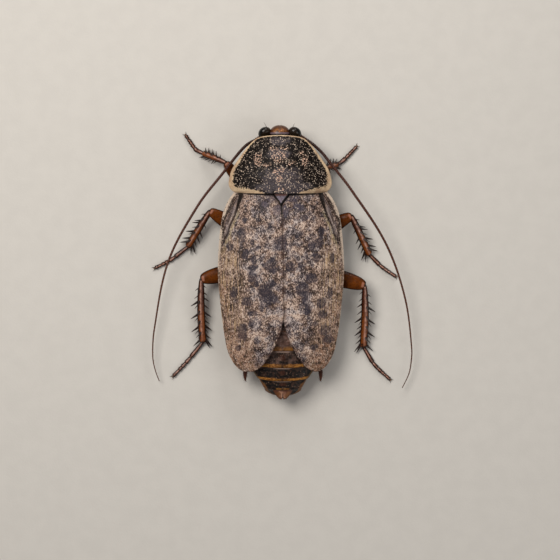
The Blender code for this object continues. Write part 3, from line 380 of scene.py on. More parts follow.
# Spines of the shins as (share along, length, root radius, lean in degrees): those of the outer edge, the
# inner edge and the upper side.
SHIN_SPINES = {
    "front": (
        [(0.3, 0.36, 0.055, 56), (0.49, 0.54, 0.075, 58), (0.61, 0.5, 0.07, 60), (0.68, 0.58, 0.08, 58),
         (0.76, 0.4, 0.05, 48), (0.84, 0.6, 0.085, 56), (0.95, 0.46, 0.065, 48)],
        [(0.4, 0.36, 0.055, 60), (0.52, 0.48, 0.07, 68), (0.59, 0.44, 0.06, 54), (0.71, 0.48, 0.075, 46),
         (0.8, 0.42, 0.06, 46), (0.89, 0.55, 0.08, 30), (0.95, 0.5, 0.065, 36)],
        [(0.35, 0.4, 0.06, 52), (0.6, 0.45, 0.065, 50), (0.85, 0.45, 0.065, 48)],
    ),
    "middle": (
        [(0.12, 0.38, 0.06, 54), (0.31, 0.62, 0.09, 56), (0.37, 0.72, 0.095, 56), (0.49, 0.48, 0.055, 46),
         (0.62, 0.84, 0.115, 56), (0.66, 0.52, 0.055, 38), (0.8, 0.8, 0.105, 56), (0.9, 0.82, 0.1, 50)],
        [(0.35, 0.42, 0.055, 50), (0.55, 0.64, 0.085, 56), (0.68, 0.72, 0.095, 55), (0.8, 0.6, 0.075, 50),
         (0.91, 0.95, 0.115, 48), (0.96, 0.8, 0.085, 30)],
        [(0.22, 0.45, 0.065, 50), (0.42, 0.55, 0.075, 50), (0.6, 0.6, 0.08, 50), (0.82, 0.62, 0.08, 46)],
    ),
    "hind": (
        [(0.14, 0.44, 0.06, 52), (0.26, 0.48, 0.06, 50), (0.36, 0.86, 0.112, 58), (0.4, 0.56, 0.055, 38),
         (0.56, 0.88, 0.115, 58), (0.6, 0.58, 0.055, 38), (0.76, 0.9, 0.115, 58), (0.8, 0.6, 0.055, 38),
         (0.88, 0.5, 0.06, 46), (0.97, 0.84, 0.105, 50)],
        [(0.1, 0.4, 0.055, 50), (0.21, 0.46, 0.06, 50), (0.3, 0.62, 0.085, 54), (0.41, 0.62, 0.08, 54),
         (0.53, 0.86, 0.112, 54), (0.57, 0.52, 0.055, 38), (0.66, 0.62, 0.08, 54), (0.74, 0.88, 0.115, 54),
         (0.79, 0.56, 0.055, 38), (0.88, 0.66, 0.085, 50), (0.96, 0.95, 0.105, 42), (0.985, 0.8, 0.085, 28)],
        [(0.18, 0.48, 0.065, 50), (0.34, 0.55, 0.075, 50), (0.5, 0.6, 0.08, 50), (0.66, 0.62, 0.085, 50),
         (0.84, 0.66, 0.085, 46)],
    ),
}
UPPER_SPINE_LIFT = 1.1
SHIN_SPINE_GIRTH = 1.35
# Where the painted highlight line of a shin and of a foot lies, as a share of the half-width towards the
# outer edge.
SHIN_HIGHLIGHT_LINE = 0.12
FOOT_HIGHLIGHT_LINE = 0.0
THIGH_SPINES = {"front": 6, "middle": 4, "hind": 3}
# A spine's length and root radius.
THIGH_SPINE = (0.42, 0.055)
KNEE_SPINE = (0.46, 0.06)
# How a thorn tapers: its share of the root radius at each share of its length.
THORN_TAPER = ((0.0, 1.0), (0.1, 1.04), (0.2, 0.84), (0.45, 0.62), (0.75, 0.36), (0.93, 0.15), (1.0, 0.0))
# Hairs: their radius; for each joint of a ringed tube how many, how long and how leaning; and for each
# length of leg how many and how long.
HAIR_RADIUS = 0.011
CERCUS_HAIRS = (7, 0.28, 0.55)
PALP_HAIRS = (16, 0.13, 0.6)
LOWER_PALP_HAIRS = (12, 0.1, 0.6)
SCAPE_HAIRS = (9, 0.16, 0.5)
FEELER_HAIRS = (5, 0.13, 0.72)
FOOT_HAIRS = (9, 0.16, 0.7)
HIP_HAIRS = (30, 0.16)
THIGH_HAIRS = (46, 0.16)
SHIN_HAIRS = (60, 0.17)
FLOOR_CLEARANCE = 0.02
# The foot: where its five joints end, and their half-widths.
FOOT_JOINTS = [0.0, 0.44, 0.6, 0.72, 0.81, 1.0]
FOOT_HALF_WIDTHS = (0.238, 0.226, 0.22, 0.214, 0.192)
FOOT_FLATNESS = 0.84
FOOT_Z = 0.2
FOOT_SIDES = 18
PAD_RADII = (0.13, 0.13, 0.1)
CUSHION_RADII = (0.11, 0.11, 0.07)
CLAW_LENGTH = 0.52
CLAW_RADIUS = 0.055
CLAW_SPREAD = 0.47
CLAW_CURL = -0.22

# Colours in the light of the photograph: red, green, blue from 0 to 255.
COLOURS = {
    "shield dark": (15, 7, 2), "shield grey": (84, 76, 79), "shield speck": (236, 210, 188),
    "shield warm speck": (238, 196, 170), "border": (222, 194, 158), "border shade": (184, 152, 122),
    "cover black": (38, 26, 20), "cover dark": (76, 57, 47), "cover taupe": (136, 112, 100),
    "cover tan": (182, 153, 136), "cover pale": (228, 204, 186), "cover mark": (60, 55, 66),
    "cover blue": (92, 84, 96), "cover rust": (156, 102, 60), "cover cream": (212, 192, 172),
    "cover olive": (170, 152, 114), "cover brown": (30, 18, 13), "cover streak": (198, 166, 128),
    "cover seam": (98, 62, 46), "violet black": (30, 24, 25), "violet dark": (68, 58, 60),
    "violet middle": (110, 97, 98), "violet light": (158, 143, 139), "violet pale": (214, 198, 190),
    "plate black": (8, 4, 2), "plate brown": (62, 41, 31), "plate mauve": (146, 114, 102),
    "band": (172, 116, 50), "band shade": (112, 66, 24), "plate painted highlight": (204, 172, 156),
    "olive": (112, 86, 46), "speck tan": (150, 124, 104), "tail pink": (168, 122, 96),
    "flank": (128, 84, 48), "tail dark": (66, 34, 20), "spot": (84, 42, 24),
    "scutellum violet": (142, 130, 146), "scutellum pink": (134, 92, 84), "line": (14, 9, 8),
    "dome orange": (172, 108, 48), "dome brown": (70, 34, 13), "dome violet": (118, 98, 106),
    "face pale": (150, 108, 66), "eye black": (2, 2, 2), "eye rim": (36, 27, 19), "chestnut": (66, 28, 2),
    "chestnut light": (98, 48, 6), "chestnut dark": (24, 7, 1), "spine": (38, 18, 10),
    "knee painted highlight": (184, 124, 98), "shin brown": (72, 32, 15), "shin orange": (126, 64, 18),
    "shin painted highlight": (212, 164, 144), "shin dark": (20, 7, 3), "foot": (88, 40, 20), "foot dark": (22, 8, 4),
    "foot painted highlight": (206, 160, 140), "pad": (150, 116, 84), "feeler": (84, 42, 28),
    "feeler joint": (22, 9, 6), "feeler tip": (98, 56, 36), "underside": (110, 66, 30),
    "underside dark": (52, 27, 13), "underside pale": (160, 116, 72), "floor": (222, 217, 209),
}


# Curves through a few places

def along(pairs, place):
    """The smooth value at a place, from (place, value) pairs in either order of places."""
    if pairs[0][0] > pairs[-1][0]:
        pairs = pairs[::-1]
    places, values = zip(*pairs)
    if place <= places[0]:
        return values[0]
    if place >= places[-1]:
        return values[-1]
    i = bisect.bisect_right(places, place) - 1
    span = places[i + 1] - places[i]
    t = (place - places[i]) / span

    def slope(k):
        low, high = max(k - 1, 0), min(k + 1, len(places) - 1)
        return (values[high] - values[low]) / (places[high] - places[low])

    start, end = slope(i) * span, slope(i + 1) * span
    rise = values[i + 1] - values[i]
    return values[i] + t * start + t * t * (3 * rise - 2 * start - end) + t ** 3 * (start + end - 2 * rise)


def between(low, high, share):
    return low + (high - low) * share


def even_shares(count):
    """The shares from 0 to 1 in even steps."""
    return [k / count for k in range(count + 1)]


def eased(low, high, value):
    """0 below low, 1 above high, and a smooth rise between them; low may be the larger."""
    t = min(max((value - low) / (high - low), 0.0), 1.0)
    return t * t * (3 - 2 * t)


def path_lengths(points):
    lengths = [0.0]
    for before, after in zip(points, points[1:]):
        lengths.append(lengths[-1] + (after - before).length)
    return lengths


class Path:
    """A smooth curve through points, read by the share of its length."""

    def __init__(self, points, steps=12):
        knots = path_lengths(points)
        count = (len(points) - 1) * steps
        axes = range(len(points[0]))
        tracks = [list(zip(knots, [point[axis] for point in points])) for axis in axes]
        places = [knots[-1] * k / count for k in range(count + 1)]
        self.points = [Vector([along(track, place) for track in tracks]) for place in places]
        self.lengths = path_lengths(self.points)
        self.length = self.lengths[-1]

    def at(self, share):
        want = min(max(share, 0.0), 1.0) * self.length
        i = min(bisect.bisect_right(self.lengths, want), len(self.points) - 1)
        before, after = self.points[i - 1], self.points[i]
        return before.lerp(after, (want - self.lengths[i - 1]) / (self.lengths[i] - self.lengths[i - 1]))

    def heading(self, share, reach=0.01):
        return (self.at(share + reach) - self.at(share - reach)).normalized()


def spots_value(x, y, spots, wobble=0.0):
    """How deep a place lies in a few soft ellipses: 1 inside one, 0 outside all."""
    best = 0.0
    for spot_x, spot_y, half_width, half_length in spots:
        if abs(x - spot_x) > 1.6 * half_width or abs(y - spot_y) > 1.6 * half_length:
            continue
        reach = math.hypot((x - spot_x) / half_width, (y - spot_y) / half_length) + wobble
        best = max(best, eased(1.5, 0.35, reach))
    return best


def wobble_at(x, y, scale, seed=0.0):
    return noise.noise(Vector((x * scale, y * scale, seed)))


# Rings and lofts

def directions(heading):
    """Level sideways and upright directions for a ring across a heading."""
    across = heading.cross(UP).normalized()
    return across, across.cross(heading).normalized()


def ring_angles(sides):
    return [2 * math.pi * (i + 0.5) / sides for i in range(sides)]


def ellipse(centre, across, upright, half_width, half_height, sides):
    wide, tall = across * half_width, upright * half_height
    return [centre + wide * math.cos(a) + tall * math.sin(a) for a in ring_angles(sides)]


def loft(bm, rings):
    """Adds one closed body: a ring of edges extruded from section to section.

    A ring of no size becomes a pole when close_poles() merges its corners.
    """
    sides = len(rings[0])
    ring = list(bmesh.ops.create_circle(bm, cap_ends=False, radius=1.0, segments=sides)["verts"])
    inside = set(ring)
    edges = list({edge for vert in ring for edge in vert.link_edges if edge.other_vert(vert) in inside})
    for vert, corner in zip(ring, rings[0]):
        vert.co = corner
    first_edges = edges
    made = [ring]
    for corners in rings[1:]:
        grown = bmesh.ops.extrude_edge_only(bm, edges=edges)
        new_edges = [g for g in grown["geom"] if isinstance(g, bmesh.types.BMEdge)]
        fresh = {g for g in grown["geom"] if isinstance(g, bmesh.types.BMVert)}
        partner = {}
        for vert in ring:
            for edge in vert.link_edges:
                other = edge.other_vert(vert)
                if other in fresh:
                    partner[vert] = other
        ring = [partner[vert] for vert in ring]
        for vert, corner in zip(ring, corners):
            vert.co = corner
        edges = [edge for edge in new_edges if edge.verts[0] in fresh and edge.verts[1] in fresh]
        made.append(ring)
    for end_edges, end_ring in ((first_edges, made[0]), (edges, made[-1])):
        if (end_ring[0].co - end_ring[sides // 2].co).length > 1e-5:
            bmesh.ops.contextual_create(bm, geom=end_edges)
    return made


def close_poles(bm):
    bmesh.ops.remove_doubles(bm, verts=bm.verts[:], dist=1e-6)


def empty_body(*names):
    """A new mesh with its point attributes, which are made before any point."""
    bm = bmesh.new()
    for name in names:
        bm.verts.layers.float.new(name)
    return bm


def set_layer(bm, rings, name, values):
    """Writes one value a ring, or one a corner, into a point attribute."""
    layer = bm.verts.layers.float[name]
    for ring, value in zip(rings, values):
        for i, vert in enumerate(ring):
            vert[layer] = value[i] if isinstance(value, list) else value


def tube_rings(path, radii, shares, sides, flat=1.0):
    rings = []
    for share, radius in zip(shares, radii):
        across, upright = directions(path.heading(share))
        rings.append(ellipse(path.at(share), across, upright, radius, radius * flat, sides))
    return rings


def give_finish(verts, finish):
    """Sets which of the piece's finishes the faces round some points take."""
    for face in {face for vert in verts for face in vert.link_faces}:
        face.material_index = finish


def thorn(bm, root, heading, length, radius, sides=6, curl=0.0, finish=0):
    """A closed spine that tapers to a point and may curl a little up or down."""
    across, upright = directions(heading)
    rings = []
    for share, size in THORN_TAPER:
        centre = root + heading * length * share + upright * curl * length * share ** 2
        rings.append(ellipse(centre, across, upright, radius * size, radius * size, sides))
    for ring in loft(bm, rings):
        give_finish(ring, finish)


def cushion(bm, place, radii, segments=(14, 8), lean=0.0, finish=0):
    """A small round body of three radii that may lean with the face."""
    made = bmesh.ops.create_uvsphere(bm, u_segments=segments[0], v_segments=segments[1], radius=1.0)
    seat = Matrix.Translation(place) @ Matrix.Rotation(-lean, 4, "X") @ Matrix.Diagonal((*radii, 1.0))
    bmesh.ops.transform(bm, matrix=seat, verts=made["verts"])
    give_finish(made["verts"], finish)


def hair(bm, root, heading, length, radius=HAIR_RADIUS, finish=0):
    """A three-sided bristle, left out where it would reach below the floor."""
    if (root + heading * length).z < FLOOR_CLEARANCE:
        return
    made = bmesh.ops.create_cone(bm, cap_ends=True, segments=3, radius1=radius, radius2=0.0, depth=length)
    turn = UP.rotation_difference(heading).to_matrix().to_4x4()
    centre = Matrix.Translation(root + heading * length / 2)
    bmesh.ops.transform(bm, matrix=centre @ turn, verts=made["verts"])
    give_finish(made["verts"], finish)


def plate(corner_at, columns, rows, thickness_at, values_at):
    """A curved plate, closed round its rim.

    corner_at(u, v) gives a point of the upper face, thickness_at(u, v) how far down the lower one lies,
    values_at(u, v, corner) the named point values of both, and the UV map lie holds u and v.
    """
    bm = bmesh.new()
    bmesh.ops.create_grid(bm, x_segments=columns, y_segments=rows, size=0.5)
    shares = [(vert.co.x + 0.5, vert.co.y + 0.5) for vert in bm.verts]
    names = list(values_at(*shares[0], corner_at(*shares[0])))
    layers = {name: bm.verts.layers.float.new(name) for name in names}
    lie = bm.loops.layers.uv.new("lie")
    places = dict(zip(bm.verts, shares))
    for face in bm.faces:
        for corner in face.loops:
            corner[lie].uv = places[corner.vert]
    for vert, (u, v) in places.items():
        vert.co = Vector((u, v, 0.0))
    grown = bmesh.ops.extrude_face_region(bm, geom=bm.faces[:], use_keep_orig=True)
    lower = {g for g in grown["geom"] if isinstance(g, bmesh.types.BMVert)}
    for vert in bm.verts:
        u, v = vert.co.x, vert.co.y
        corner = corner_at(u, v)
        for name, value in values_at(u, v, corner).items():
            vert[layers[name]] = value
        vert.co = corner - UP * (thickness_at(u, v) if vert in lower else 0.0)
    return bm


# Finished pieces

def placed(name, data):
    """A new object of the scene."""
    made = bpy.data.objects.new(name, data)
    bpy.context.scene.collection.objects.link(made)
    return made


def finish_piece(name, bm, finishes, nodes=(), sharp=48.0):
    """Makes a piece of the object: its mesh in metres and its finishes; it hides the imported parts it
    stands for.
    """
    bmesh.ops.recalc_face_normals(bm, faces=bm.faces[:])
    bmesh.ops.transform(bm, matrix=Matrix.Scale(MM, 4), verts=bm.verts)
    mesh = bpy.data.meshes.new(name)
    bm.to_mesh(mesh)
    bm.free()
    for finish in finishes:
        mesh.materials.append(finish)
    mesh.shade_smooth()
    mesh.set_sharp_from_angle(angle=math.radians(sharp))
    piece = placed(name, mesh)
    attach(piece, "root")
    if nodes:
        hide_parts(*nodes)
    return piece


# Finishes

def paint(name):
    """A colour in linear light, from its sRGB bytes."""
    linear = []
    for byte in COLOURS[name]:
        value = byte / 255
        linear.append(value / 12.92 if value <= 0.04045 else ((value + 0.055) / 1.055) ** 2.4)
    return (*linear, 1.0)


class Graph:
    """Adds nodes to one node tree; a socket, a plain value or a colour's name goes into each input."""

    def __init__(self, tree):
        self.tree = tree

    def feed(self, socket, value):
        if isinstance(value, bpy.types.NodeSocket):
            self.tree.links.new(value, socket)
        else:
            socket.default_value = paint(value) if isinstance(value, str) else value

    def node(self, kind, settings=None, **inputs):
        made = self.tree.nodes.new(kind)
        for key, value in (settings or {}).items():
            setattr(made, key, value)
        for key, value in inputs.items():
            self.feed(made.inputs[key.replace("_", " ")], value)
        return made

    def noise(self, place, scale, detail, roughness=0.55):
        made = self.node("ShaderNodeTexNoise", Vector=place, Scale=scale, Detail=detail, Roughness=roughness)
        return made.outputs[0]

    def cells(self, place, scale, feature="F1"):
        return self.node("ShaderNodeTexVoronoi", {"feature": feature}, Vector=place, Scale=scale)

    def stretched(self, place, scale):
        return self.node("ShaderNodeMapping", Vector=place, Scale=scale).outputs[0]

    def maths(self, operation, first, second=0.0):
        made = self.node("ShaderNodeMath", {"operation": operation})
        self.feed(made.inputs[0], first)
        self.feed(made.inputs[1], second)
        return made.outputs[0]

    def plus(self, first, second):
        return self.maths("ADD", first, second)

    def minus(self, first, second):
        return self.maths("SUBTRACT", first, second)

    def times(self, first, second):
        return self.maths("MULTIPLY", first, second)

    def larger(self, first, second):
        return self.maths("MAXIMUM", first, second)

    def far_from(self, value, middle):
        """How far a value lies from a middle, either way."""
        return self.maths("ABSOLUTE", self.minus(value, middle))

    def step(self, value, low, high, start=0.0, end=1.0):
        """A smooth step from start at low to end at high; low may be the larger."""
        if isinstance(low, float) and isinstance(high, float) and low > high:
            low, high, start, end = high, low, end, start
        made = self.node(
            "ShaderNodeMapRange", {"interpolation_type": "SMOOTHSTEP"},
            Value=value, From_Min=low, From_Max=high, To_Min=start, To_Max=end,
        )
        return made.outputs[0]

    def ramp(self, value, stops):
        """Colours between stops, each a place from 0 to 1 and the name of a colour."""
        made = self.node("ShaderNodeValToRGB", Fac=value)
        elements = made.color_ramp.elements
        for _ in stops[2:]:
            elements.new(0.5)
        for element, (place, name) in zip(elements, stops):
            element.position = place
            element.color = paint(name)
        return made.outputs[0]

    def blend(self, terms, offset=0.5):
        """A weighted sum about the offset of values that lie about a half, from (value, weight) pairs."""
        total = offset
        for value, weight in terms:
            total = self.plus(self.times(self.minus(value, 0.5), weight), total)
        return total

    def mix(self, factor, first, second):
        made = self.node("ShaderNodeMix", {"data_type": "RGBA"})
        self.feed(made.inputs[0], factor)
        self.feed(made.inputs[6], first)
        self.feed(made.inputs[7], second)
        return made.outputs[2]

    def value(self, name):
        """A point attribute of the piece."""
        return self.node("ShaderNodeAttribute", {"attribute_name": name}).outputs["Fac"]

    def group(self, tree, **inputs):
        return self.node("ShaderNodeGroup", {"node_tree": tree}, **inputs)


class Finish(Graph):
    """A Principled material; place gives Object coordinates in millimetres, tone its colour so far."""

    def __init__(self, name, **sockets):
        self.material = bpy.data.materials.new(name)
        self.material.use_nodes = True
        super().__init__(self.material.node_tree)
        self.shader = self.tree.nodes["Principled BSDF"]
        for key, value in sockets.items():
            self.shader.inputs[key.replace("_", " ")].default_value = value
        seat = self.node("ShaderNodeTexCoord")
        self.place = self.stretched(seat.outputs["Object"], (1 / MM, 1 / MM, 1 / MM))
        parts = self.node("ShaderNodeSeparateXYZ", Vector=self.place)
        self.x, self.y, self.z = parts.outputs
        self.tone = None

    def cloud(self, scale, detail, roughness=0.55):
        return self.noise(self.place, scale, detail, roughness)

    def flecks(self, count, size, share, place=None):
        """Round flecks, so many to the millimetre, of a size, in a share of their cells."""
        place = self.place if place is None else place
        return self.group(FLECKS, Place=place, To_the_millimetre=count, Size=size, Share=share).outputs[0]

    def cuticle(self, pits, depth):
        """The grain of horny skin, as a height."""
        made = self.group(CUTICLE, Place=self.place, Pits_to_the_millimetre=pits, Pit_depth=depth)
        return made.outputs[0]

    def lay(self, colour, mask, amount=None):
        """Lays a colour over the tone so far where the mask is 1, at most by the amount."""
        share = mask if amount is None else self.times(mask, amount)
        self.tone = self.mix(share, self.tone, colour)

    def roughness(self, value, low, high):
        """Roughness from low to high, as a cloud has it."""
        self.feed(self.shader.inputs["Roughness"], self.step(value, 0.3, 0.7, low, high))

    def relief(self, height, depth):
        """Bump of a depth in millimetres."""
        bump = self.node("ShaderNodeBump", Height=height, Distance=depth * MM, Strength=1.0)
        self.feed(self.shader.inputs["Normal"], bump.outputs[0])

    def finished(self):
        self.feed(self.shader.inputs["Base Color"], self.tone)
        return self.material


def new_group(name, inputs, output):
    """An empty shader group with a place, float inputs and a float output."""
    tree = bpy.data.node_groups.new(name, "ShaderNodeTree")
    tree.interface.new_socket("Place", in_out="INPUT", socket_type="NodeSocketVector")
    for title in inputs:
        tree.interface.new_socket(title, in_out="INPUT", socket_type="NodeSocketFloat")
    tree.interface.new_socket(output, in_out="OUTPUT", socket_type="NodeSocketFloat")
    graph = Graph(tree)
    return graph, graph.node("NodeGroupInput").outputs, graph.node("NodeGroupOutput").inputs[0]


def make_fleck_group():
    """Round flecks, each at a random place in its cell."""
    graph, given, wanted = new_group("flecks", ["To the millimetre", "Size", "Share"], "Mask")
    shift = graph.times(graph.noise(given["Place"], 3.0, 2.0), 0.14)
    bent = graph.node("ShaderNodeVectorMath", {"operation": "ADD"})
    graph.feed(bent.inputs[0], given["Place"])
    graph.feed(bent.inputs[1], graph.node("ShaderNodeCombineXYZ", X=shift, Y=shift, Z=shift).outputs[0])
    cells = graph.cells(bent.outputs[0], given["To the millimetre"])
    inner = graph.times(given["Size"], 0.55)
    fleck = graph.step(cells.outputs["Distance"], inner, given["Size"], 1.0, 0.0)
    draw = graph.node("ShaderNodeSeparateColor", Color=cells.outputs["Color"]).outputs[0]
    chosen = graph.maths("LESS_THAN", draw, given["Share"])
    graph.feed(wanted, graph.times(fleck, chosen))
    return graph.tree


def make_cuticle_group():
    """The grain of horny skin: shallow pits over a fine uneven ground, as a height."""
    graph, given, wanted = new_group("cuticle", ["Pits to the millimetre", "Pit depth"], "Height")
    pits = graph.cells(given["Place"], given["Pits to the millimetre"])
    pit = graph.step(pits.outputs["Distance"], 0.1, 0.45)
    ground = graph.noise(given["Place"], 9.0, 4.0)
    sunk = graph.times(pit, given["Pit depth"])
    graph.feed(wanted, graph.plus(sunk, graph.times(ground, 0.6)))
    return graph.tree


FLECKS = make_fleck_group()
CUTICLE = make_cuticle_group()


def shield_finish():
    """A dark disc full of pale specks, greyer in the middle, inside a ragged cream border."""
    look = Finish("shield_finish", Roughness=0.46, Specular_IOR_Level=0.16)
    coarse = look.cloud(1.3, 3.0)
    middle = look.cloud(3.2, 3.0, 0.65)
    fine = look.cloud(7.0, 2.0)
    grey = look.blend([(middle, 1.3), (fine, 0.7)], look.value("grey"))
    ground = look.mix(look.step(grey, 0.15, 0.95), "shield dark", "shield grey")
    ground = look.mix(look.step(fine, 0.5, 0.62, 0.0, 0.7), ground, "shield dark")
    specks = look.larger(look.flecks(4.8, 0.38, 0.32), look.flecks(8.2, 0.46, 0.34))
    thin = look.step(look.blend([(coarse, 1.0), (middle, 0.9)]), 0.36, 0.62, 0.25, 0.9)
    ground = look.mix(look.times(specks, thin), ground, "shield speck")
    loose = look.blend([(middle, 1.5), (fine, 1.3)], look.value("warm"))
    crowded = look.larger(look.flecks(5.4, 0.46, 0.66), look.flecks(8.6, 0.46, 0.56))
    warm = look.times(look.step(loose, 0.22, 0.85), crowded)
    ground = look.mix(warm, ground, "shield warm speck")
    edge = look.blend([(middle, 0.8), (fine, 1.5)], look.value("border"))
    rim = look.mix(look.step(coarse, 0.35, 0.7), "border", "border shade")
    specked = look.flecks(5.0, 0.2, 0.25)
    rim = look.mix(look.times(specked, 0.5), rim, "cover dark")
    look.tone = look.mix(look.step(edge, 0.8, 1.06), rim, ground)
    look.roughness(middle, 0.42, 0.6)
    look.relief(look.cuticle(5.0, 0.9), 0.022)
    return look.finished()


def cover_finish():
    """Mottled taupe of fine grains, with darker marks, a streaked side field and a cream edge."""
    look = Finish("wing_cover_finish", Roughness=0.5, Specular_IOR_Level=0.22)
    lie = look.node("ShaderNodeUVMap", {"uv_map": "lie"}).outputs[0]
    grain = look.noise(look.stretched(lie, (70.0, 88.0, 1.0)), 1.0, 2.0, 0.6)
    round_grain = look.cloud(7.6, 2.0, 0.6)
    middle = look.cloud(2.1, 4.0, 0.66)
    coarse = look.cloud(0.62, 3.0)
    hue = look.cloud(1.15, 3.0, 0.6)
    ragged = look.blend([(middle, 1.7), (round_grain, 0.8), (grain, 0.3)], 0.0)
    mark = look.step(look.plus(look.value("mark"), ragged), 0.36, 0.58)
    grey = look.step(look.plus(look.value("grey"), ragged), 0.2, 0.7)
    shoulder = look.times(look.value("shoulder"), look.step(middle, 0.35, 0.65))
    tone = look.blend([(grain, 1.15), (round_grain, 1.15), (middle, 1.1), (coarse, 0.8)], 0.515)
    for name, weight in (("vein", 0.03), ("pale patch", 0.08), ("rear", -0.05)):
        tone = look.plus(tone, look.times(look.value(name), weight))
    for value, weight in ((mark, 0.13), (grey, 0.1), (shoulder, 0.11)):
        tone = look.minus(tone, look.times(value, weight))
    violet = look.ramp(tone, [
        (0.2, "violet black"), (0.38, "violet dark"), (0.52, "violet middle"), (0.66, "violet light"),
        (0.8, "violet pale"),
    ])
    warm = look.ramp(tone, [
        (0.2, "cover black"), (0.38, "cover dark"), (0.52, "cover taupe"), (0.66, "cover tan"),
        (0.8, "cover pale"),
    ])
    warmth = look.plus(hue, look.times(look.value("warm edge"), 0.16))
    warmth = look.plus(warmth, look.times(shoulder, 0.2))
    look.tone = look.mix(look.step(warmth, 0.4, 0.6), violet, warm)
    streaks = look.noise(look.stretched(lie, (90.0, 9.0, 1.0)), 1.0, 2.0, 0.5)
    streak = look.times(look.value("warm edge"), look.step(streaks, 0.52, 0.66))
    look.lay("cover streak", streak, 0.36)
    beyond_fold = look.value("streaked")
    dark_streak = look.times(beyond_fold, look.step(streaks, 0.47, 0.36, 0.0, 0.66))
    look.lay("cover black", dark_streak)
    pale_streak = look.times(beyond_fold, look.step(streaks, 0.53, 0.62, 0.0, 0.72))
    look.lay("cover streak", pale_streak)
    rust = look.times(look.value("rear"), look.step(middle, 0.38, 0.64))
    look.lay("cover rust", rust, 0.42)
    strip = look.times(look.value("seam strip"), look.step(round_grain, 0.36, 0.56))
    look.lay("cover seam", strip, 0.5)
    veil = look.times(look.larger(mark, grey), 0.58)
    look.lay(look.mix(grey, "cover mark", "cover blue"), veil)
    slant = look.node("ShaderNodeSeparateXYZ", Vector=lie).outputs
    across = look.minus(slant[0], look.times(slant[1], 0.52))
    drawn = look.node("ShaderNodeCombineXYZ", X=look.times(across, 70.0), Y=look.times(slant[1], 14.0))
    bars = look.noise(drawn.outputs[0], 1.0, 2.0, 0.55)
    inside = look.blend([(bars, 0.3), (round_grain, 0.35), (grain, 0.25)], look.value("past cream"))
    field = look.ramp(look.plus(inside, 0.2), [
        (0.1, "cover cream"), (0.2, "cover brown"), (0.46, "cover brown"), (0.62, "cover dark"),
        (0.78, "violet middle"), (0.9, "cover dark"),
    ])
    streaky = look.blend([(bars, 1.8), (grain, 0.9), (round_grain, 0.6)])
    field = look.mix(look.step(streaky, 0.56, 0.8, 0.0, 0.7), field, "cover tan")
    field = look.mix(look.step(streaky, 0.46, 0.22, 0.0, 0.8), field, "cover brown")
    beside = look.times(look.value("pale streak"), look.step(bars, 0.34, 0.52))
    field = look.mix(look.times(beside, 0.85), field, "violet light")
    look.lay(field, look.value("side field"), 0.88)
    olive = look.times(look.value("olive line"), look.step(round_grain, 0.34, 0.6))
    look.lay("cover olive", olive, 0.9)
    broken = look.blend([(middle, 1.3), (round_grain, 1.1), (streaks, 1.0)], look.value("cream"))
    broken = look.step(broken, 0.3, 0.66)
    cream = look.times(look.step(inside, 0.06, -0.06), broken)
    look.lay("cover cream", cream)
    dots = look.larger(look.flecks(5.2, 0.4, 0.46), look.flecks(3.4, 0.28, 0.3))
    look.lay("cover black", dots, 0.58)
    bright = look.flecks(4.6, 0.38, 0.42, look.stretched(look.place, (1.0, 0.72, 1.0)))
    bright = look.times(bright, look.step(look.plus(mark, shoulder), 0.9, 0.2, 0.2, 0.6))
    look.lay("cover pale", bright)
    # The line value holds dark lines of the seam, groove, bar, furrow and fold, and painted shadow under the
    # shield's rear edge and beside the left cover's lap.
    look.lay("line", look.value("line"))
    look.roughness(middle, 0.46, 0.66)
    mesh = look.cells(look.stretched(lie, (15.0, 26.0, 1.0)), 1.0, "DISTANCE_TO_EDGE").outputs["Distance"]
    net = look.step(mesh, 0.12, 0.0, 0.0, 0.5)
    look.relief(look.plus(net, look.times(look.cloud(11.0, 4.0), 0.9)), 0.016)
    return look.finished()


def scutellum_finish():
    look = Finish("scutellum_finish", Roughness=0.42, Specular_IOR_Level=0.4)
    grain = look.cloud(6.0, 3.0)
    look.tone = look.mix(look.step(grain, 0.35, 0.7), "scutellum violet", "violet middle")
    look.lay("scutellum pink", look.step(look.y, 6.7, 6.78))
    look.lay("line", look.step(look.value("edge"), 0.11, 0.05))
    look.relief(look.cuticle(5.0, 0.6), 0.015)
    return look.finished()


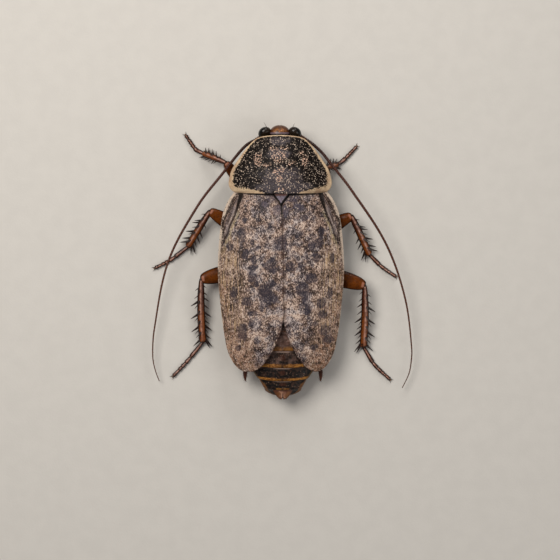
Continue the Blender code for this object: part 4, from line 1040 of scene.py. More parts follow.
def abdomen_finish():
    """Dark plates with an amber band at each rear edge and a painted highlight behind it, mauve under the
    covers, horn-brown below.
    """
    look = Finish("abdomen_finish", Roughness=0.3, Specular_IOR_Level=0.26)
    share = look.value("share")
    off_middle = look.far_from(look.x, ABDOMEN_X - 0.03)
    seen = look.step(look.y, -8.2, -8.9)
    fine = look.cloud(4.5, 4.0)
    middle = look.cloud(2.2, 3.0)
    ground = look.mix(look.step(fine, 0.44, 0.66), "plate black", "plate brown")
    brown = look.mix(look.step(fine, 0.3, 0.6), "plate brown", "plate black")
    brown = look.mix(look.step(middle, 0.34, 0.7, 0.0, 0.38), brown, "plate mauve")
    ground = look.mix(look.step(look.y, -10.5, -11.0), brown, ground)
    under_covers = look.mix(look.step(middle, 0.35, 0.7), "plate mauve", "plate brown")
    bars = look.noise(look.stretched(look.place, (0.7, 3.6, 1.0)), 1.0, 2.0)
    under_covers = look.mix(look.step(bars, 0.5, 0.62, 0.0, 0.6), under_covers, "tail dark")
    ground = look.mix(seen, under_covers, ground)
    specks = look.larger(look.flecks(4.8, 0.3, 0.3), look.flecks(3.0, 0.2, 0.25))
    ground = look.mix(look.times(specks, 0.55), ground, "speck tan")
    near_middle = look.step(look.blend([(middle, 0.5)], off_middle), 0.42, 0.12)
    spot = look.times(near_middle, look.step(look.far_from(share, 0.36), 0.24, 0.1))
    ground = look.mix(look.times(spot, look.times(seen, 0.38)), ground, "spot")
    wavy = look.blend([(middle, 0.22), (fine, 0.14)], share)
    band = look.times(look.step(wavy, 0.74, 0.82), look.step(share, 1.0, 0.965))
    thin = look.step(look.blend([(fine, 0.8)], off_middle), 0.02, 1.3, 0.45, 1.0)
    split = look.step(off_middle, 0.05, 0.16, 0.35, 1.0)
    band = look.times(look.times(band, thin), look.times(seen, split))
    last = look.larger(look.step(look.y, -12.45, -12.3), look.step(off_middle, 0.75, 0.55))
    band = look.times(band, last)
    amber = look.mix(look.step(fine, 0.42, 0.62), "band", "band shade")
    look.tone = look.mix(band, ground, amber)
    hint = look.times(look.step(look.y, -8.6, -8.0), look.step(look.y, -6.2, -6.6))
    hint = look.times(hint, look.step(share, 0.9, 0.96, 0.0, 0.6))
    look.lay("band shade", hint)
    # Painted highlight: a pale gleam just behind each band, near the middle of the plates that show.
    pale = look.times(look.step(share, 0.085, 0.03), look.step(off_middle, 1.15, 0.35))
    look.lay("plate painted highlight", look.times(pale, look.times(seen, 0.62)))
    wide = look.step(look.y, -12.1, -12.5, 0.0, 0.12)
    reach = look.blend([(fine, 0.1)], look.plus(look.value("side"), wide))
    side = look.step(reach, 0.9, 0.955)
    flank = look.mix(look.step(look.y, -11.4, -12.6), "olive", "flank")
    flank = look.mix(look.step(fine, 0.46, 0.6, 0.0, 0.6), flank, "tail dark")
    look.lay(flank, look.times(side, look.times(seen, 0.85)))
    belly = look.step(look.value("belly"), 0.2, 0.8)
    under = look.mix(look.step(look.cloud(1.6, 4.0), 0.35, 0.7), "underside", "underside dark")
    under = look.mix(look.step(wavy, 0.8, 0.95, 0.0, 0.6), under, "underside pale")
    look.lay(under, belly)
    look.roughness(middle, 0.28, 0.46)
    lines = look.noise(look.stretched(look.place, (1.2, 9.0, 9.0)), 1.0, 3.0)
    look.relief(look.plus(look.cuticle(6.0, 0.5), look.times(lines, 0.7)), 0.022)
    return look.finished()


def tail_finish():
    look = Finish("tail_plate_finish", Roughness=0.36, Coat_Weight=0.1, Coat_Roughness=0.2)
    grain = look.cloud(3.2, 4.0)
    off_middle = look.far_from(look.x, TAIL_CENTRE)
    outer = look.step(look.blend([(grain, 0.9)], off_middle), 0.06, 0.48)
    look.tone = look.mix(outer, "tail pink", "band shade")
    streaks = look.noise(look.stretched(look.place, (5.5, 1.1, 2.0)), 1.0, 3.0)
    look.lay("spot", look.step(streaks, 0.44, 0.6, 0.0, 0.62))
    notch = look.times(look.step(off_middle, 0.11, 0.02), look.step(look.y, -13.2, -13.6))
    look.lay("tail dark", notch, 0.75)
    front = look.step(look.blend([(grain, 0.9)], look.y), -13.35, -13.15)
    look.lay("spot", front, 0.75)
    shaded = look.blend([(grain, 0.3)], look.value("edge"))
    look.lay("tail dark", look.step(shaded, 0.22, 0.02, 0.0, 0.75))
    look.relief(look.cuticle(6.0, 0.6), 0.018)
    return look.finished()


def head_finish():
    """Orange-brown crown between the eyes, a violet-grey nape, and a banded face."""
    look = Finish("head_finish", Roughness=0.34, Specular_IOR_Level=0.45)
    grain = look.cloud(4.0, 4.0)
    look.tone = look.mix(look.step(grain, 0.4, 0.66), "dome orange", "dome brown")
    rim = look.step(look.blend([(grain, 0.5)], look.z), 3.2, 3.0)
    look.lay("dome brown", rim, 0.9)
    bars = look.noise(look.stretched(look.place, (0.8, 1.0, 4.2)), 1.0, 3.0)
    face = look.mix(look.step(bars, 0.42, 0.62), "face pale", "dome brown")
    look.lay(face, look.step(look.z, 2.6, 2.1))
    dots = look.flecks(5.2, 0.34, 0.4)
    look.lay("chestnut dark", dots, 0.65)
    nape = look.mix(look.step(look.y, 13.12, 13.06), "dome violet", "chestnut dark")
    look.lay(nape, look.step(look.y, 13.29, 13.21))
    look.lay("chestnut dark", look.step(look.value("mouth"), 0.4, 0.9, 0.0, 0.6))
    look.relief(look.cuticle(7.0, 0.5), 0.014)
    return look.finished()


def eye_finish():
    look = Finish("eye_finish", Roughness=0.18, Specular_IOR_Level=0.36)
    rim = look.plus(look.value("rim"), look.times(look.cloud(3.0, 3.0), 0.25))
    look.tone = look.mix(look.step(rim, 0.84, 1.04), "eye black", "eye rim")
    look.relief(look.cells(look.place, 26.0).outputs["Distance"], 0.003)
    return look.finished()


def leg_finish():
    """Glossy chestnut, darker at both ends of each length and along its edges, orange before the knee, with
    a painted highlight at the knee end.
    """
    look = Finish("leg_finish", Roughness=0.22, Specular_IOR_Level=0.12)
    share = look.value("share")
    edge = look.value("edge")
    grain = look.cloud(1.7, 4.0)
    look.tone = look.mix(look.step(grain, 0.38, 0.64), "chestnut", "chestnut light")
    warm = look.times(look.step(share, 0.6, 0.84), look.step(share, 0.97, 0.9))
    look.lay("shin orange", warm, 0.34)
    streaks = look.cloud(5.5, 2.0)
    look.lay("chestnut dark", look.step(streaks, 0.52, 0.66, 0.0, 0.35))
    # Painted highlight: a pale patch on the faces near the outer end of each length, at the knee on the
    # thighs.
    knee_highlight = look.times(look.step(share, 0.915, 0.94), look.step(share, 0.985, 0.96))
    knee_highlight = look.times(knee_highlight, look.step(edge, 0.66, 0.36, 0.0, 0.7))
    look.lay("knee painted highlight", knee_highlight)
    ends = look.larger(look.step(share, 0.16, 0.02), look.step(share, 0.965, 0.99))
    look.lay("chestnut dark", ends, 0.85)
    look.lay("chestnut dark", look.step(edge, 0.8, 0.96, 0.0, 0.95))
    dots = look.flecks(4.5, 0.26, 0.28)
    look.lay("chestnut dark", dots, 0.45)
    look.roughness(look.cloud(6.0, 3.0), 0.18, 0.32)
    look.relief(look.cuticle(5.5, 0.7), 0.012)
    return look.finished()


def shin_finish():
    """Reddish-brown, orange towards the ankle, with a painted highlight line, dark edges and spots, and a
    dark ankle.
    """
    look = Finish("shin_finish", Roughness=0.2, Specular_IOR_Level=0.28)
    share = look.value("share")
    edge = look.value("edge")
    grain = look.cloud(3.0, 4.0)
    ragged = look.blend([(grain, 0.3)], 0.0)
    look.tone = look.mix(look.step(look.plus(share, ragged), 0.3, 0.62), "shin brown", "shin orange")
    look.lay("shin brown", look.step(grain, 0.5, 0.66, 0.0, 0.7))
    spots = look.larger(look.flecks(3.2, 0.34, 0.4), look.flecks(5.0, 0.3, 0.3))
    look.lay("shin dark", spots, 0.6)
    # Painted highlight: a pale line along the upper face, fading towards the ankle.
    line = look.times(look.value("painted highlight line"), look.step(share, 0.94, 0.8, 0.3, 1.0))
    line = look.times(line, look.step(grain, 0.62, 0.44, 0.3, 0.9))
    look.lay("shin painted highlight", line)
    dark = look.step(look.plus(edge, ragged), 0.56, 0.84, 0.0, 0.95)
    look.lay("shin dark", dark)
    ends = look.larger(look.step(share, 0.05, 0.01), look.step(look.plus(share, ragged), 0.93, 0.97))
    look.lay("shin dark", ends, 0.85)
    look.roughness(look.cloud(6.0, 3.0), 0.18, 0.34)
    look.relief(look.cuticle(5.5, 0.7), 0.012)
    return look.finished()


def spine_finish():
    look = Finish("spine_finish", Roughness=0.3, Specular_IOR_Level=0.5)
    grain = look.cloud(5.0, 3.0)
    look.tone = look.mix(look.step(grain, 0.45, 0.75), "spine", "chestnut dark")
    look.relief(look.cloud(14.0, 2.0), 0.006)
    return look.finished()


def foot_finish():
    look = Finish("foot_finish", Roughness=0.22, Specular_IOR_Level=0.36)
    share = look.value("share")
    grain = look.cloud(3.5, 4.0)
    look.tone = look.mix(look.step(grain, 0.44, 0.72), "foot", "foot dark")
    # Painted highlight: a pale line along the top of the foot.
    line = look.times(look.value("painted highlight line"), look.step(grain, 0.64, 0.46, 0.35, 0.92))
    look.lay("foot painted highlight", line)
    look.lay("foot dark", look.step(look.value("edge"), 0.46, 0.8, 0.0, 0.92))
    ends = look.larger(look.step(share, 0.14, 0.02), look.step(share, 0.82, 0.98))
    look.lay("foot dark", ends, 0.8)
    look.relief(look.cuticle(9.0, 0.5), 0.01)
    return look.finished()


def pad_finish():
    look = Finish("pad_finish", Roughness=0.6)
    grain = look.cloud(7.0, 3.0)
    look.tone = look.mix(look.step(grain, 0.35, 0.7), "pad", "foot")
    look.relief(grain, 0.008)
    return look.finished()


def feeler_finish():
    """Each ring darkens at its joint, and the length pales a little to the tip."""
    look = Finish("feeler_finish", Roughness=0.34, Specular_IOR_Level=0.34)
    ring = look.value("ring")
    length = look.value("share")
    look.tone = look.mix(look.step(length, 0.15, 1.0), "feeler", "feeler tip")
    look.lay("feeler joint", look.step(length, 0.22, 0.04, 0.0, 0.6))
    joint = look.larger(look.step(ring, 0.2, 0.04), look.step(ring, 0.82, 0.98))
    look.lay("feeler joint", joint, 0.75)
    grain = look.cloud(8.0, 3.0)
    look.lay("feeler joint", look.step(grain, 0.5, 0.75, 0.0, 0.35))
    look.relief(grain, 0.008)
    return look.finished()


def underside_finish():
    look = Finish("underside_finish", Roughness=0.34, Coat_Weight=0.15, Coat_Roughness=0.2)
    cloud = look.cloud(0.9, 4.0)
    look.tone = look.mix(look.step(cloud, 0.36, 0.66), "underside", "underside dark")
    look.lay("underside pale", look.step(look.value("ridge"), 0.3, 0.9, 0.0, 0.7))
    dots = look.flecks(4.0, 0.25, 0.3)
    look.lay("chestnut dark", dots, 0.5)
    look.relief(look.cuticle(5.0, 0.7), 0.018)
    return look.finished()


def floor_finish():
    look = Finish("floor_finish", Roughness=0.75)
    grain = look.cloud(0.6, 4.0)
    pale = paint("floor")
    shade = tuple(value * 0.965 for value in pale[:3]) + (1.0,)
    look.tone = look.mix(look.step(grain, 0.3, 0.7), pale, shade)
    look.relief(look.cloud(5.0, 3.0), 0.01)
    return look.finished()


# Shield, wing covers and scutellum

def shield_top(x, y):
    half_width = along(SHIELD_HALF_WIDTHS, y)
    crown, rim = along(SHIELD_CROWN, y), along(SHIELD_RIM, y)
    return crown - (crown - rim) * min(abs(x - SHIELD_X) / half_width, 1.0) ** SHIELD_DOME_POWER


def cover_top(x, y):
    tuck = COVER_TUCK * eased(6.2, 7.1, y) * eased(2.0, 4.6, abs(x))
    return along(COVER_CROWN, y) - COVER_DROP * (abs(x) / COVER_REACH) ** COVER_DOME_POWER - tuck


def shield_place(u, v):
    """The plan place of a point of the shield, from its shares across and forward."""
    sideways = math.sin((u - 0.5) * math.pi)
    y = between(SHIELD_REAR, SHIELD_HALF_WIDTHS[-1][0], (1 - math.cos(v * math.pi)) / 2)
    x = sideways * along(SHIELD_HALF_WIDTHS, y)
    bow = 1 - sideways ** 2
    return SHIELD_X + x, y + bow * (SHIELD_FRONT_BULGE * v ** 4 - SHIELD_REAR_BULGE * (1 - v) ** 4)


def on_plan(places):
    return [Vector((x, y, 0.0)) for x, y in places]


def search_tree(points):
    tree = kdtree.KDTree(len(points))
    for i, point in enumerate(points):
        tree.insert(point, i)
    tree.balance()
    return tree


def rim_tree():
    """The shield's outline as a search tree."""
    outline = []
    for share in even_shares(OUTLINE_STEPS):
        for u, v in ((0.0, share), (1.0, share), (share, 0.0), (share, 1.0)):
            outline.append(shield_place(u, v))
    return search_tree(on_plan(outline))


def make_shield():
    rim = rim_tree()

    def relief(x, y):
        """Paired hollows beside the middle and a low swelling between them."""
        hollow = math.exp(-((abs(x) - 1.55) / 0.45) ** 2 - ((y - 9.6) / 0.9) ** 2)
        cross = math.exp(-((y - 7.95) / 0.3) ** 2) * eased(3.4, 2.2, abs(x))
        slant = math.exp(-((abs(x) - 2.6 + 0.35 * (y - 10.0)) / 0.22) ** 2)
        slant *= eased(8.6, 9.4, y) * eased(11.6, 10.8, y)
        return -0.07 * hollow - 0.05 * cross - 0.05 * slant + 0.012 * wobble_at(x, y, 2.5)

    def corner_at(u, v):
        x, y = shield_place(u, v)
        off = rim.find((x, y, 0.0))[2]
        lip = RIM_LIP * math.exp(-(off / 0.16) ** 2)
        fall = 0.06 * math.exp(-(off / 0.04) ** 2)
        return Vector((x, y, shield_top(x, y) + lip - fall + relief(x, y) * eased(0.1, 0.6, off)))

    def thickness_at(u, v):
        x, y = shield_place(u, v)
        off = rim.find((x, y, 0.0))[2]
        edge = between(SHIELD_REAR_BODY, SHIELD_RIM_BODY, eased(7.2, 8.2, y))
        return between(edge, SHIELD_BODY, eased(0.0, 0.7, off))

    def values_at(u, v, corner):
        x, y = corner.x, corner.y
        off = rim.find((x, y, 0.0))[2]
        at_rear = eased(8.1, 7.7, y)
        width = between(along(BORDER_SIDE, y), along(BORDER_REAR, abs(x)), at_rear)
        ragged = wobble_at(x, y, 1.6, 3.0) * 0.35
        return {
            "border": off / width + 1.5 * eased(7.95, 7.6, y) * eased(2.1, 1.3, abs(x)),
            "warm": spots_value(x, y, WARM_CLUSTERS, ragged),
            "grey": spots_value(x, y, GREY_MIDDLE, ragged),
        }

    bm = plate(corner_at, SHIELD_COLUMNS, SHIELD_ROWS, thickness_at, values_at)
    finish_piece("pronotum_shield", bm, [shield_finish()], ["pronotum"])


def branch(points, count=40):
    """A vein as plan shares: a smooth curve through (u, v) points."""
    path = Path(on_plan(points), 8)
    return [path.at(share) for share in even_shares(count)]


def vein_branches():
    """The veins of a wing cover in shares across, from the seam, and along, from the front."""
    veins = [branch([(0.62, 0.0), (0.7, 0.12), (0.74, 0.3), (0.72, 0.55), (0.7, 0.8)])]
    stem = Path(on_plan([(0.7, 0.06), (0.74, 0.3), (0.71, 0.78)]), 8)
    for k in range(13):
        start = stem.at(k / 12.5)
        end_v = start.y + 0.17 - 0.004 * k
        middle = (between(start.x, 0.99, 0.45), between(start.y, end_v, 0.62))
        veins.append(branch([(start.x, start.y), middle, (0.99, end_v)], 24))
        fork = (between(start.x, 0.99, 0.72), between(start.y, end_v, 0.95))
        veins.append(branch([middle, fork, (0.985, end_v + 0.035)], 14))
    for k in range(6):
        share = k / 5
        veins.append(branch([
            (0.6 - 0.03 * share, 0.04 + 0.05 * share), (between(0.62, 0.48, share), 0.35),
            (between(0.66, 0.4, share), 0.68), (between(0.72, 0.36, share), 0.96),
        ]))
        veins.append(branch([
            (between(0.635, 0.44, share), 0.55), (between(0.66, 0.36, share), 0.72),
            (between(0.68, 0.32, share), 0.97),
        ], 24))
    for k in range(5):
        share = k / 4
        veins.append(branch([
            (0.47 - 0.1 * share, 0.1 + 0.12 * share), (between(0.4, 0.14, share), 0.42 + 0.06 * share),
            (between(0.3, 0.06, share), 0.72), (between(0.28, 0.05, share), 0.97),
        ]))
    for k in range(6):
        start_u = 0.34 - 0.055 * k
        end_v = 0.335 - 0.045 * k
        veins.append(branch([(start_u, 0.02), (start_u * 0.86, end_v * 0.5), (0.03, end_v)], 26))
    return veins


def seam_lap(side, y):
    """How far a cover laps over the seam, with no lap where the two covers part."""
    return SEAM_LAP[side] * eased(*SEAM_PARTS, y)


def plan_tree(curves, place_at):
    """Curves of shares laid on the plan, as a search tree of points."""
    points = []
    for curve in curves:
        laid = [place_at(spot.x, spot.y) for spot in curve]
        for before, after in zip(laid, laid[1:]):
            count = max(1, int((after - before).length / 0.03))
            points += [before.lerp(after, i / count) for i in range(count)]
    return search_tree(points)


def make_wing_cover(side):
    """One wing cover; the left one laps over the right one along the seam."""
    outward = OUTWARD[side]
    outer = Path(on_plan(COVER_OUTER))
    inner = Path(on_plan((x + outward * along(SEAM, y) - seam_lap(side, y), y) for x, y in COVER_INNER))

    def place_at(u, v):
        flat = inner.at(v).lerp(outer.at(v), u)
        return Vector((outward * flat.x, flat.y, 0.0))

    veins = plan_tree(vein_branches(), place_at)
    furrows = plan_tree([branch(FURROW)], place_at)
    known = {}

    def facts(u, v):
        """The plan place, how far it is from both edges, and how near to a vein, furrow and groove."""
        key = (round(u, 6), round(v, 6))
        if key not in known:
            start, end = inner.at(v), outer.at(v)
            flat = start.lerp(end, u)
            width = (end - start).length
            place = Vector((outward * flat.x, flat.y, 0.0))
            vein = math.exp(-(veins.find(place)[2] / VEIN_HALF_WIDTH) ** 2)
            furrow = math.exp(-(furrows.find(place)[2] / VEIN_HALF_WIDTH) ** 2)
            past_groove = along(GROOVE_FROM_EDGE, place.y) - width * (1 - u)
            groove = math.exp(-(past_groove / GROOVE_HALF_WIDTH) ** 2) * eased(1.5, 2.7, place.y)
            known[key] = (place, width * u, width * (1 - u), vein, furrow, groove)
        return known[key]

    def corner_at(u, v):
        place, from_seam, from_edge, vein, furrow, groove = facts(u, v)
        fade = eased(0.0, 0.35, from_edge) * eased(0.0, 0.25, from_seam)
        relief = (VEIN_HEIGHT * vein - FURROW_DEPTH * furrow - GROOVE_DEPTH * groove) * fade
        relief += 0.02 * wobble_at(place.x, place.y, 1.4, 7.0)
        sag = 0.07 * eased(0.35, 0.0, from_edge)
        if side == "right":
            sag += RIGHT_UNDER_LAP * eased(0.62, 0.2, from_seam) * eased(*SEAM_PARTS, place.y)
        return Vector((place.x, place.y, cover_top(place.x, place.y) + relief - sag))

    def thickness_at(u, v):
        from_seam, from_edge = facts(u, v)[1:3]
        return between(COVER_RIM_BODY, COVER_BODY, eased(0.0, 0.9, min(from_seam, from_edge)))

    def values_at(u, v, corner):
        place, from_seam, from_edge, vein, furrow, groove = facts(u, v)
        x, y = place.x, place.y
        ragged = wobble_at(x, y, 1.3, 1.0) * 0.4 + wobble_at(x, y, 3.4, 5.0) * 0.35
        past_groove = along(GROOVE_FROM_EDGE, y) - from_edge
        width = along(CREAM_WIDTHS, y)
        lapped = eased(*SEAM_PARTS, y)
        stem = eased(4.4, 4.9, y)
        hidden = SEAM_LAP["left"] + SEAM_LAP["right"]
        from_lap = from_seam - hidden * lapped * (side == "right")
        beside = eased(5.6, 6.1, y)
        # On the left cover this is the dark seam line; on the right cover it is painted shadow beside the
        # left cover's lapping edge.
        seam_line_and_lap_shadow = eased(0.09 + 0.05 * stem - 0.08 * beside, 0.03 + 0.03 * stem - 0.05 * beside, from_lap)
        seam_line_and_lap_shadow *= 0.55 + 0.45 * stem
        bar_half = between(0.06, 0.22, eased(5.0, 6.7, y))
        bar = eased(bar_half + 0.06, bar_half - 0.04, abs(past_groove)) * eased(2.8, 3.8, y)
        past_fold = abs(x) - along(FOLD_LINE, y)
        fold = math.exp(-(past_fold / FOLD_HALF_WIDTH) ** 2) * eased(3.9, 3.2, y) * eased(-2.4, -0.4, y)
        # Painted shadow: a dark band on the cover just behind the shield's rear edge, where the shield
        # overhangs it.
        shield_edge = SHIELD_REAR - SHIELD_REAR_BULGE * (1 - min(abs(x) / SHIELD_REAR_HALF, 1.0) ** 2)
        shaded = eased(shield_edge - 0.26, shield_edge - 0.1, y) * eased(4.4, 3.0, abs(x))
        streak_y = eased(6.0, 5.4, y) * eased(2.4, 3.2, y)
        olive_y = eased(5.6, 4.9, y) * eased(0.9, 2.2, y)
        behind = eased(-4.0, -9.0, y) * eased(3.4, 1.0, from_edge)
        outside = 0.7 * eased(0.5, -1.5, y) * eased(1.5, 0.4, from_edge)
        return {
            "mark": spots_value(x, y, COVER_MARKS, ragged),
            "grey": spots_value(x, y, COVER_GREY, ragged),
            "shoulder": spots_value(x, y, COVER_SHOULDERS, ragged),
            "pale patch": spots_value(x, y, COVER_PALE, ragged),
            "vein": vein,
            "past cream": from_edge - width,
            "cream": between(0.3, 1.0, eased(-1.5, 1.2, y)),
            "side field": eased(-0.02, 0.08, past_groove) * eased(0.6, 2.0, y),
            "pale streak": math.exp(-((past_groove - 0.25) / 0.11) ** 2) * streak_y,
            "streaked": eased(0.0, 0.12, past_fold) * eased(3.2, 2.2, y) * eased(-9.5, -5.0, y),
            "olive line": math.exp(-((past_groove + 0.24) / 0.12) ** 2) * olive_y,
            "line": max(seam_line_and_lap_shadow, groove * 0.9, bar * 0.92, furrow * 0.3, fold * 0.62, shaded),
            "rear": max(behind, outside),
            "warm edge": eased(3.6, 5.0, abs(x) - 0.1 * y + 0.4) * eased(2.5, 0.5, y),
            "seam strip": eased(0.34, 0.05, from_lap),
        }

    bm = plate(corner_at, COVER_COLUMNS, COVER_ROWS, thickness_at, values_at)
    finish_piece("wing_cover_" + side, bm, [WING_FINISH], ["tegmen_" + side])


def make_scutellum():
    def corner_at(u, v):
        half_width = SCUTELLUM_HALF_WIDTH * (0.02 + 0.98 * v)
        x = (2 * u - 1) * half_width
        y = between(SCUTELLUM_APEX, SCUTELLUM_FRONT, v)
        dish = 0.05 * math.exp(-(((2 * u - 1) / 0.5) ** 2)) * eased(0.9, 0.3, v)
        return Vector((x, y, SCUTELLUM_TOP - 0.1 * (2 * u - 1) ** 2 - dish))

    def values_at(u, v, corner):
        half_width = SCUTELLUM_HALF_WIDTH * (0.02 + 0.98 * v)
        return {"edge": (1 - abs(2 * u - 1)) * half_width}

    bm = plate(corner_at, SCUTELLUM_GRID, SCUTELLUM_GRID, lambda u, v: SCUTELLUM_BODY, values_at)
    finish_piece("scutellum_triangle", bm, [scutellum_finish()], ["scutellum"])


# Trunk

def trunk_ring(half_width, top_at, edge, bottom, y, lean=0.0):
    """A lens-shaped ring across the trunk; lean tips it back as it rises."""
    corners = []
    for angle in ring_angles(TRUNK_SIDES):
        x = half_width * math.cos(angle)
        height = abs(math.sin(angle))
        if math.sin(angle) > 0:
            z = edge + (top_at(x) - edge) * height ** 0.35
        else:
            z = edge + (bottom - edge) * height ** 0.75
        corners.append(Vector((x, y + lean * (z - CHEST_BOTTOM), z)))
    return corners


def relieve(rings, fronts):
    """Raises a keel and sinks slanting seams on the underside of trunk rings; returns the ridge values."""
    values = []
    for ring in rings:
        row = []
        for vert in ring:
            x, y = vert.co.x, vert.co.y
            keel = 0.14 * math.exp(-(x / 0.35) ** 2)
            seam = max(math.exp(-((y - front + 0.55 * abs(x)) / 0.14) ** 2) for front in fronts)
            if vert.co.z < THORAX_EDGE:
                vert.co.z += 0.1 * seam - keel
            row.append(keel * 5)
        values.append(row)
    return values


def chest_piece(name, rings, fronts, node):
    bm = empty_body("ridge")
    made = loft(bm, rings)
    set_layer(bm, made, "ridge", relieve(made, fronts))
    finish_piece(name, bm, [UNDER_FINISH], [node])


def make_chest():
    rings = []
    for share in even_shares(PROTHORAX_RINGS):
        y = between(PROTHORAX_REAR, PROTHORAX_FRONT, share)
        round_off = math.sqrt(1 - max(0.0, (share - 0.9) / 0.1) ** 2 * 0.96)
        half_width = PROTHORAX_HALF_WIDTH * (1 - 0.42 * share ** 3) * round_off
        lean = PROTHORAX_LEAN * share ** 2

        def top_at(x, y=y, share=share):
            return min(shield_top(x, y), shield_top(x, y + 0.3)) - SHIELD_BODY - 0.32 - 0.25 * share ** 2

        edge = (top_at(half_width) + CHEST_BOTTOM) / 2
        rings.append(trunk_ring(half_width, top_at, edge, CHEST_BOTTOM, y, lean))
    chest_piece("chest_front", rings, PROTHORAX_SEAMS, "prothorax")

    rings = []
    for share in even_shares(THORAX_RINGS):
        y = between(THORAX_REAR, THORAX_FRONT, share)
        half_width = THORAX_HALF_WIDTH * (1 - 0.1 * share ** 2)

        def top_at(x, y=y):
            return min(cover_top(x, y), cover_top(x, y + 0.3)) - ROOF_CLEARANCE

        rings.append(trunk_ring(half_width, top_at, THORAX_EDGE, CHEST_BOTTOM, y))
    chest_piece("chest_rear", rings, THORAX_SEAMS, "thorax")


def make_abdomen():
    """Overlapping plates above and below, each with a rounded rear lip over the next."""
    half_widths = [(y, half_width) for y, half_width, _ in ABDOMEN_STATIONS]
    bellies = [(y, belly) for y, _, belly in ABDOMEN_STATIONS]
    shares = (0.0, 0.03, 0.1, 0.22, 0.38, 0.54, 0.7, 0.82, 0.9, 0.955, 0.985, 1.0)
    rings, share_values = [], []
    for front, rear in zip(PLATE_EDGES, PLATE_EDGES[1:]):
        for share in shares:
            y = between(front, rear, 0.02 + 0.97 * share)
            lip = 0.05 * eased(0.93, 1.0, share)
            sunk = PLATE_STEP * (1 - share) + lip
            belly = along(bellies, y) + sunk * 0.8
            half_width = along(half_widths, y) - sunk * 0.6
            edge = belly + (cover_top(half_width, y) - ROOF_CLEARANCE - belly) * ABDOMEN_EDGE_SHARE

            def top_at(x, y=y, sunk=sunk):
                return cover_top(x, y) - ROOF_CLEARANCE - sunk

            rings.append(trunk_ring(half_width, top_at, edge, belly, y))
            share_values.append(share)
    for y, half_width, top, bottom in LAST_PLATE:
        rings.append(trunk_ring(half_width, lambda x, top=top: top, (top + bottom) / 2, bottom, y))
        share_values.append(0.5)
    bm = empty_body("share", "side", "belly")
    made = loft(bm, rings)
    angles = ring_angles(TRUNK_SIDES)
    set_layer(bm, made, "share", share_values)
    set_layer(bm, made, "side", [[abs(math.cos(a)) for a in angles]] * len(made))
    set_layer(bm, made, "belly", [[max(0.0, -math.sin(a)) ** 0.5 for a in angles]] * len(made))
    bow_rear_edges(made, shares)
    bmesh.ops.translate(bm, vec=SIDEWAYS * ABDOMEN_X, verts=bm.verts)
    finish_piece("abdomen_plates", bm, [abdomen_finish()], ["abdomen"])


def bow_rear_edges(rings, shares):
    """Bends each plate's edges forward at the sides, as the bands of the animal are arched."""
    for ring in rings[: len(shares) * (len(PLATE_EDGES) - 1)]:
        reach = max(abs(vert.co.x) for vert in ring)
        for vert in ring:
            vert.co.y += PLATE_BOW * (vert.co.x / reach) ** 2 * eased(-7.0, -9.0, vert.co.y)


def make_tail_lobes():
    def shape(u, v):
        across = 2 * u - 1
        half_width = TAIL_HALF_WIDTH * (1 - 0.58 * v ** 1.5)
        notch = TAIL_NOTCH * math.exp(-((across / 0.16) ** 2))
        rear = TAIL_REAR + notch + 0.1 * across ** 4
        return across, half_width, between(TAIL_FRONT, rear, v)

    def corner_at(u, v):
        across, half_width, y = shape(u, v)
        crease = 0.06 * math.exp(-((across / 0.12) ** 2)) * v
        fall = 0.15 * v + 0.1 * across ** 2 + 0.06 * eased(0.9, 1.0, v)
        return Vector((TAIL_CENTRE + across * half_width, y, TAIL_TOP - fall - crease))

    def values_at(u, v, corner):
        across, half_width, y = shape(u, v)
        return {"edge": min((1 - abs(across)) * half_width, (1 - v) * (TAIL_FRONT - TAIL_REAR))}

    bm = plate(corner_at, 48, 40, lambda u, v: between(0.45, 0.16, v ** 2), values_at)
    draw = random.Random(TAIL_SEED)
    for _ in range(TAIL_BRISTLES):
        across = draw.uniform(-0.9, 0.9)
        root = Vector((TAIL_CENTRE + across * 0.58, TAIL_REAR + 0.2 + 0.15 * across ** 4, TAIL_TOP - 0.3))
        aim = Vector((across * 0.5, -1.0, draw.uniform(-0.1, 0.3))).normalized()
        hair(bm, root, aim, draw.uniform(0.15, 0.3), HAIR_RADIUS * 0.8)
    finish_piece("tail_lobes", bm, [tail_finish()], ["supra_anal_plate"])


def ringed_tube(bm, path, joints, radii, sides, swell, flat=1.0):
    """A tube of joints whose ends pinch in, with joints as shares along the path; writes share and ring."""
    spans = list(zip(joints, joints[1:]))
    shares = [between(low, high, part) for low, high in spans for part, _ in swell]
    places = [part for _ in spans for part, _ in swell]
    sizes = [size for _ in spans for _, size in swell]
    girths = [along(radii, share) * size for share, size in zip(shares, sizes)]
    ends = [joints[0], *shares, joints[-1]]
    made = loft(bm, tube_rings(path, [0.0, *girths, 0.0], ends, sides, flat))
    set_layer(bm, made, "share", shares[:1] + shares + shares[-1:])
    set_layer(bm, made, "ring", places[:1] + places + places[-1:])
    return made


def bristles(bm, path, joints, radii, hairs, draw, finish=0):
    """Hairs round a ringed tube; hairs says how many to a joint, how long, and how far they lean."""
    count, length, lean = hairs
    for low, high in zip(joints, joints[1:]):
        for _ in range(count):
            share = between(low, high, draw.uniform(0.45, 0.9))
            heading = path.heading(share)
            across, upright = directions(heading)
            angle = draw.uniform(0, 2 * math.pi)
            out = across * math.cos(angle) + upright * math.sin(angle)
            root = path.at(share) + out * along(radii, share) * 0.9
            aim = (out * (1 - lean) + heading * lean).normalized()
            hair(bm, root, aim, length * draw.uniform(0.7, 1.2), HAIR_RADIUS * 0.7, finish)


def jointed_piece(name, path, joints, radii, sides, swell, hairs, draw, finishes, nodes=()):
    """A ringed tube with its bristles, which take the last of the finishes, as one piece."""
    bm = empty_body("share", "ring")
    ringed_tube(bm, path, joints, radii, sides, swell)
    bristles(bm, path, joints, radii, hairs, draw, len(finishes) - 1)
    close_poles(bm)
    finish_piece(name, bm, finishes, nodes)


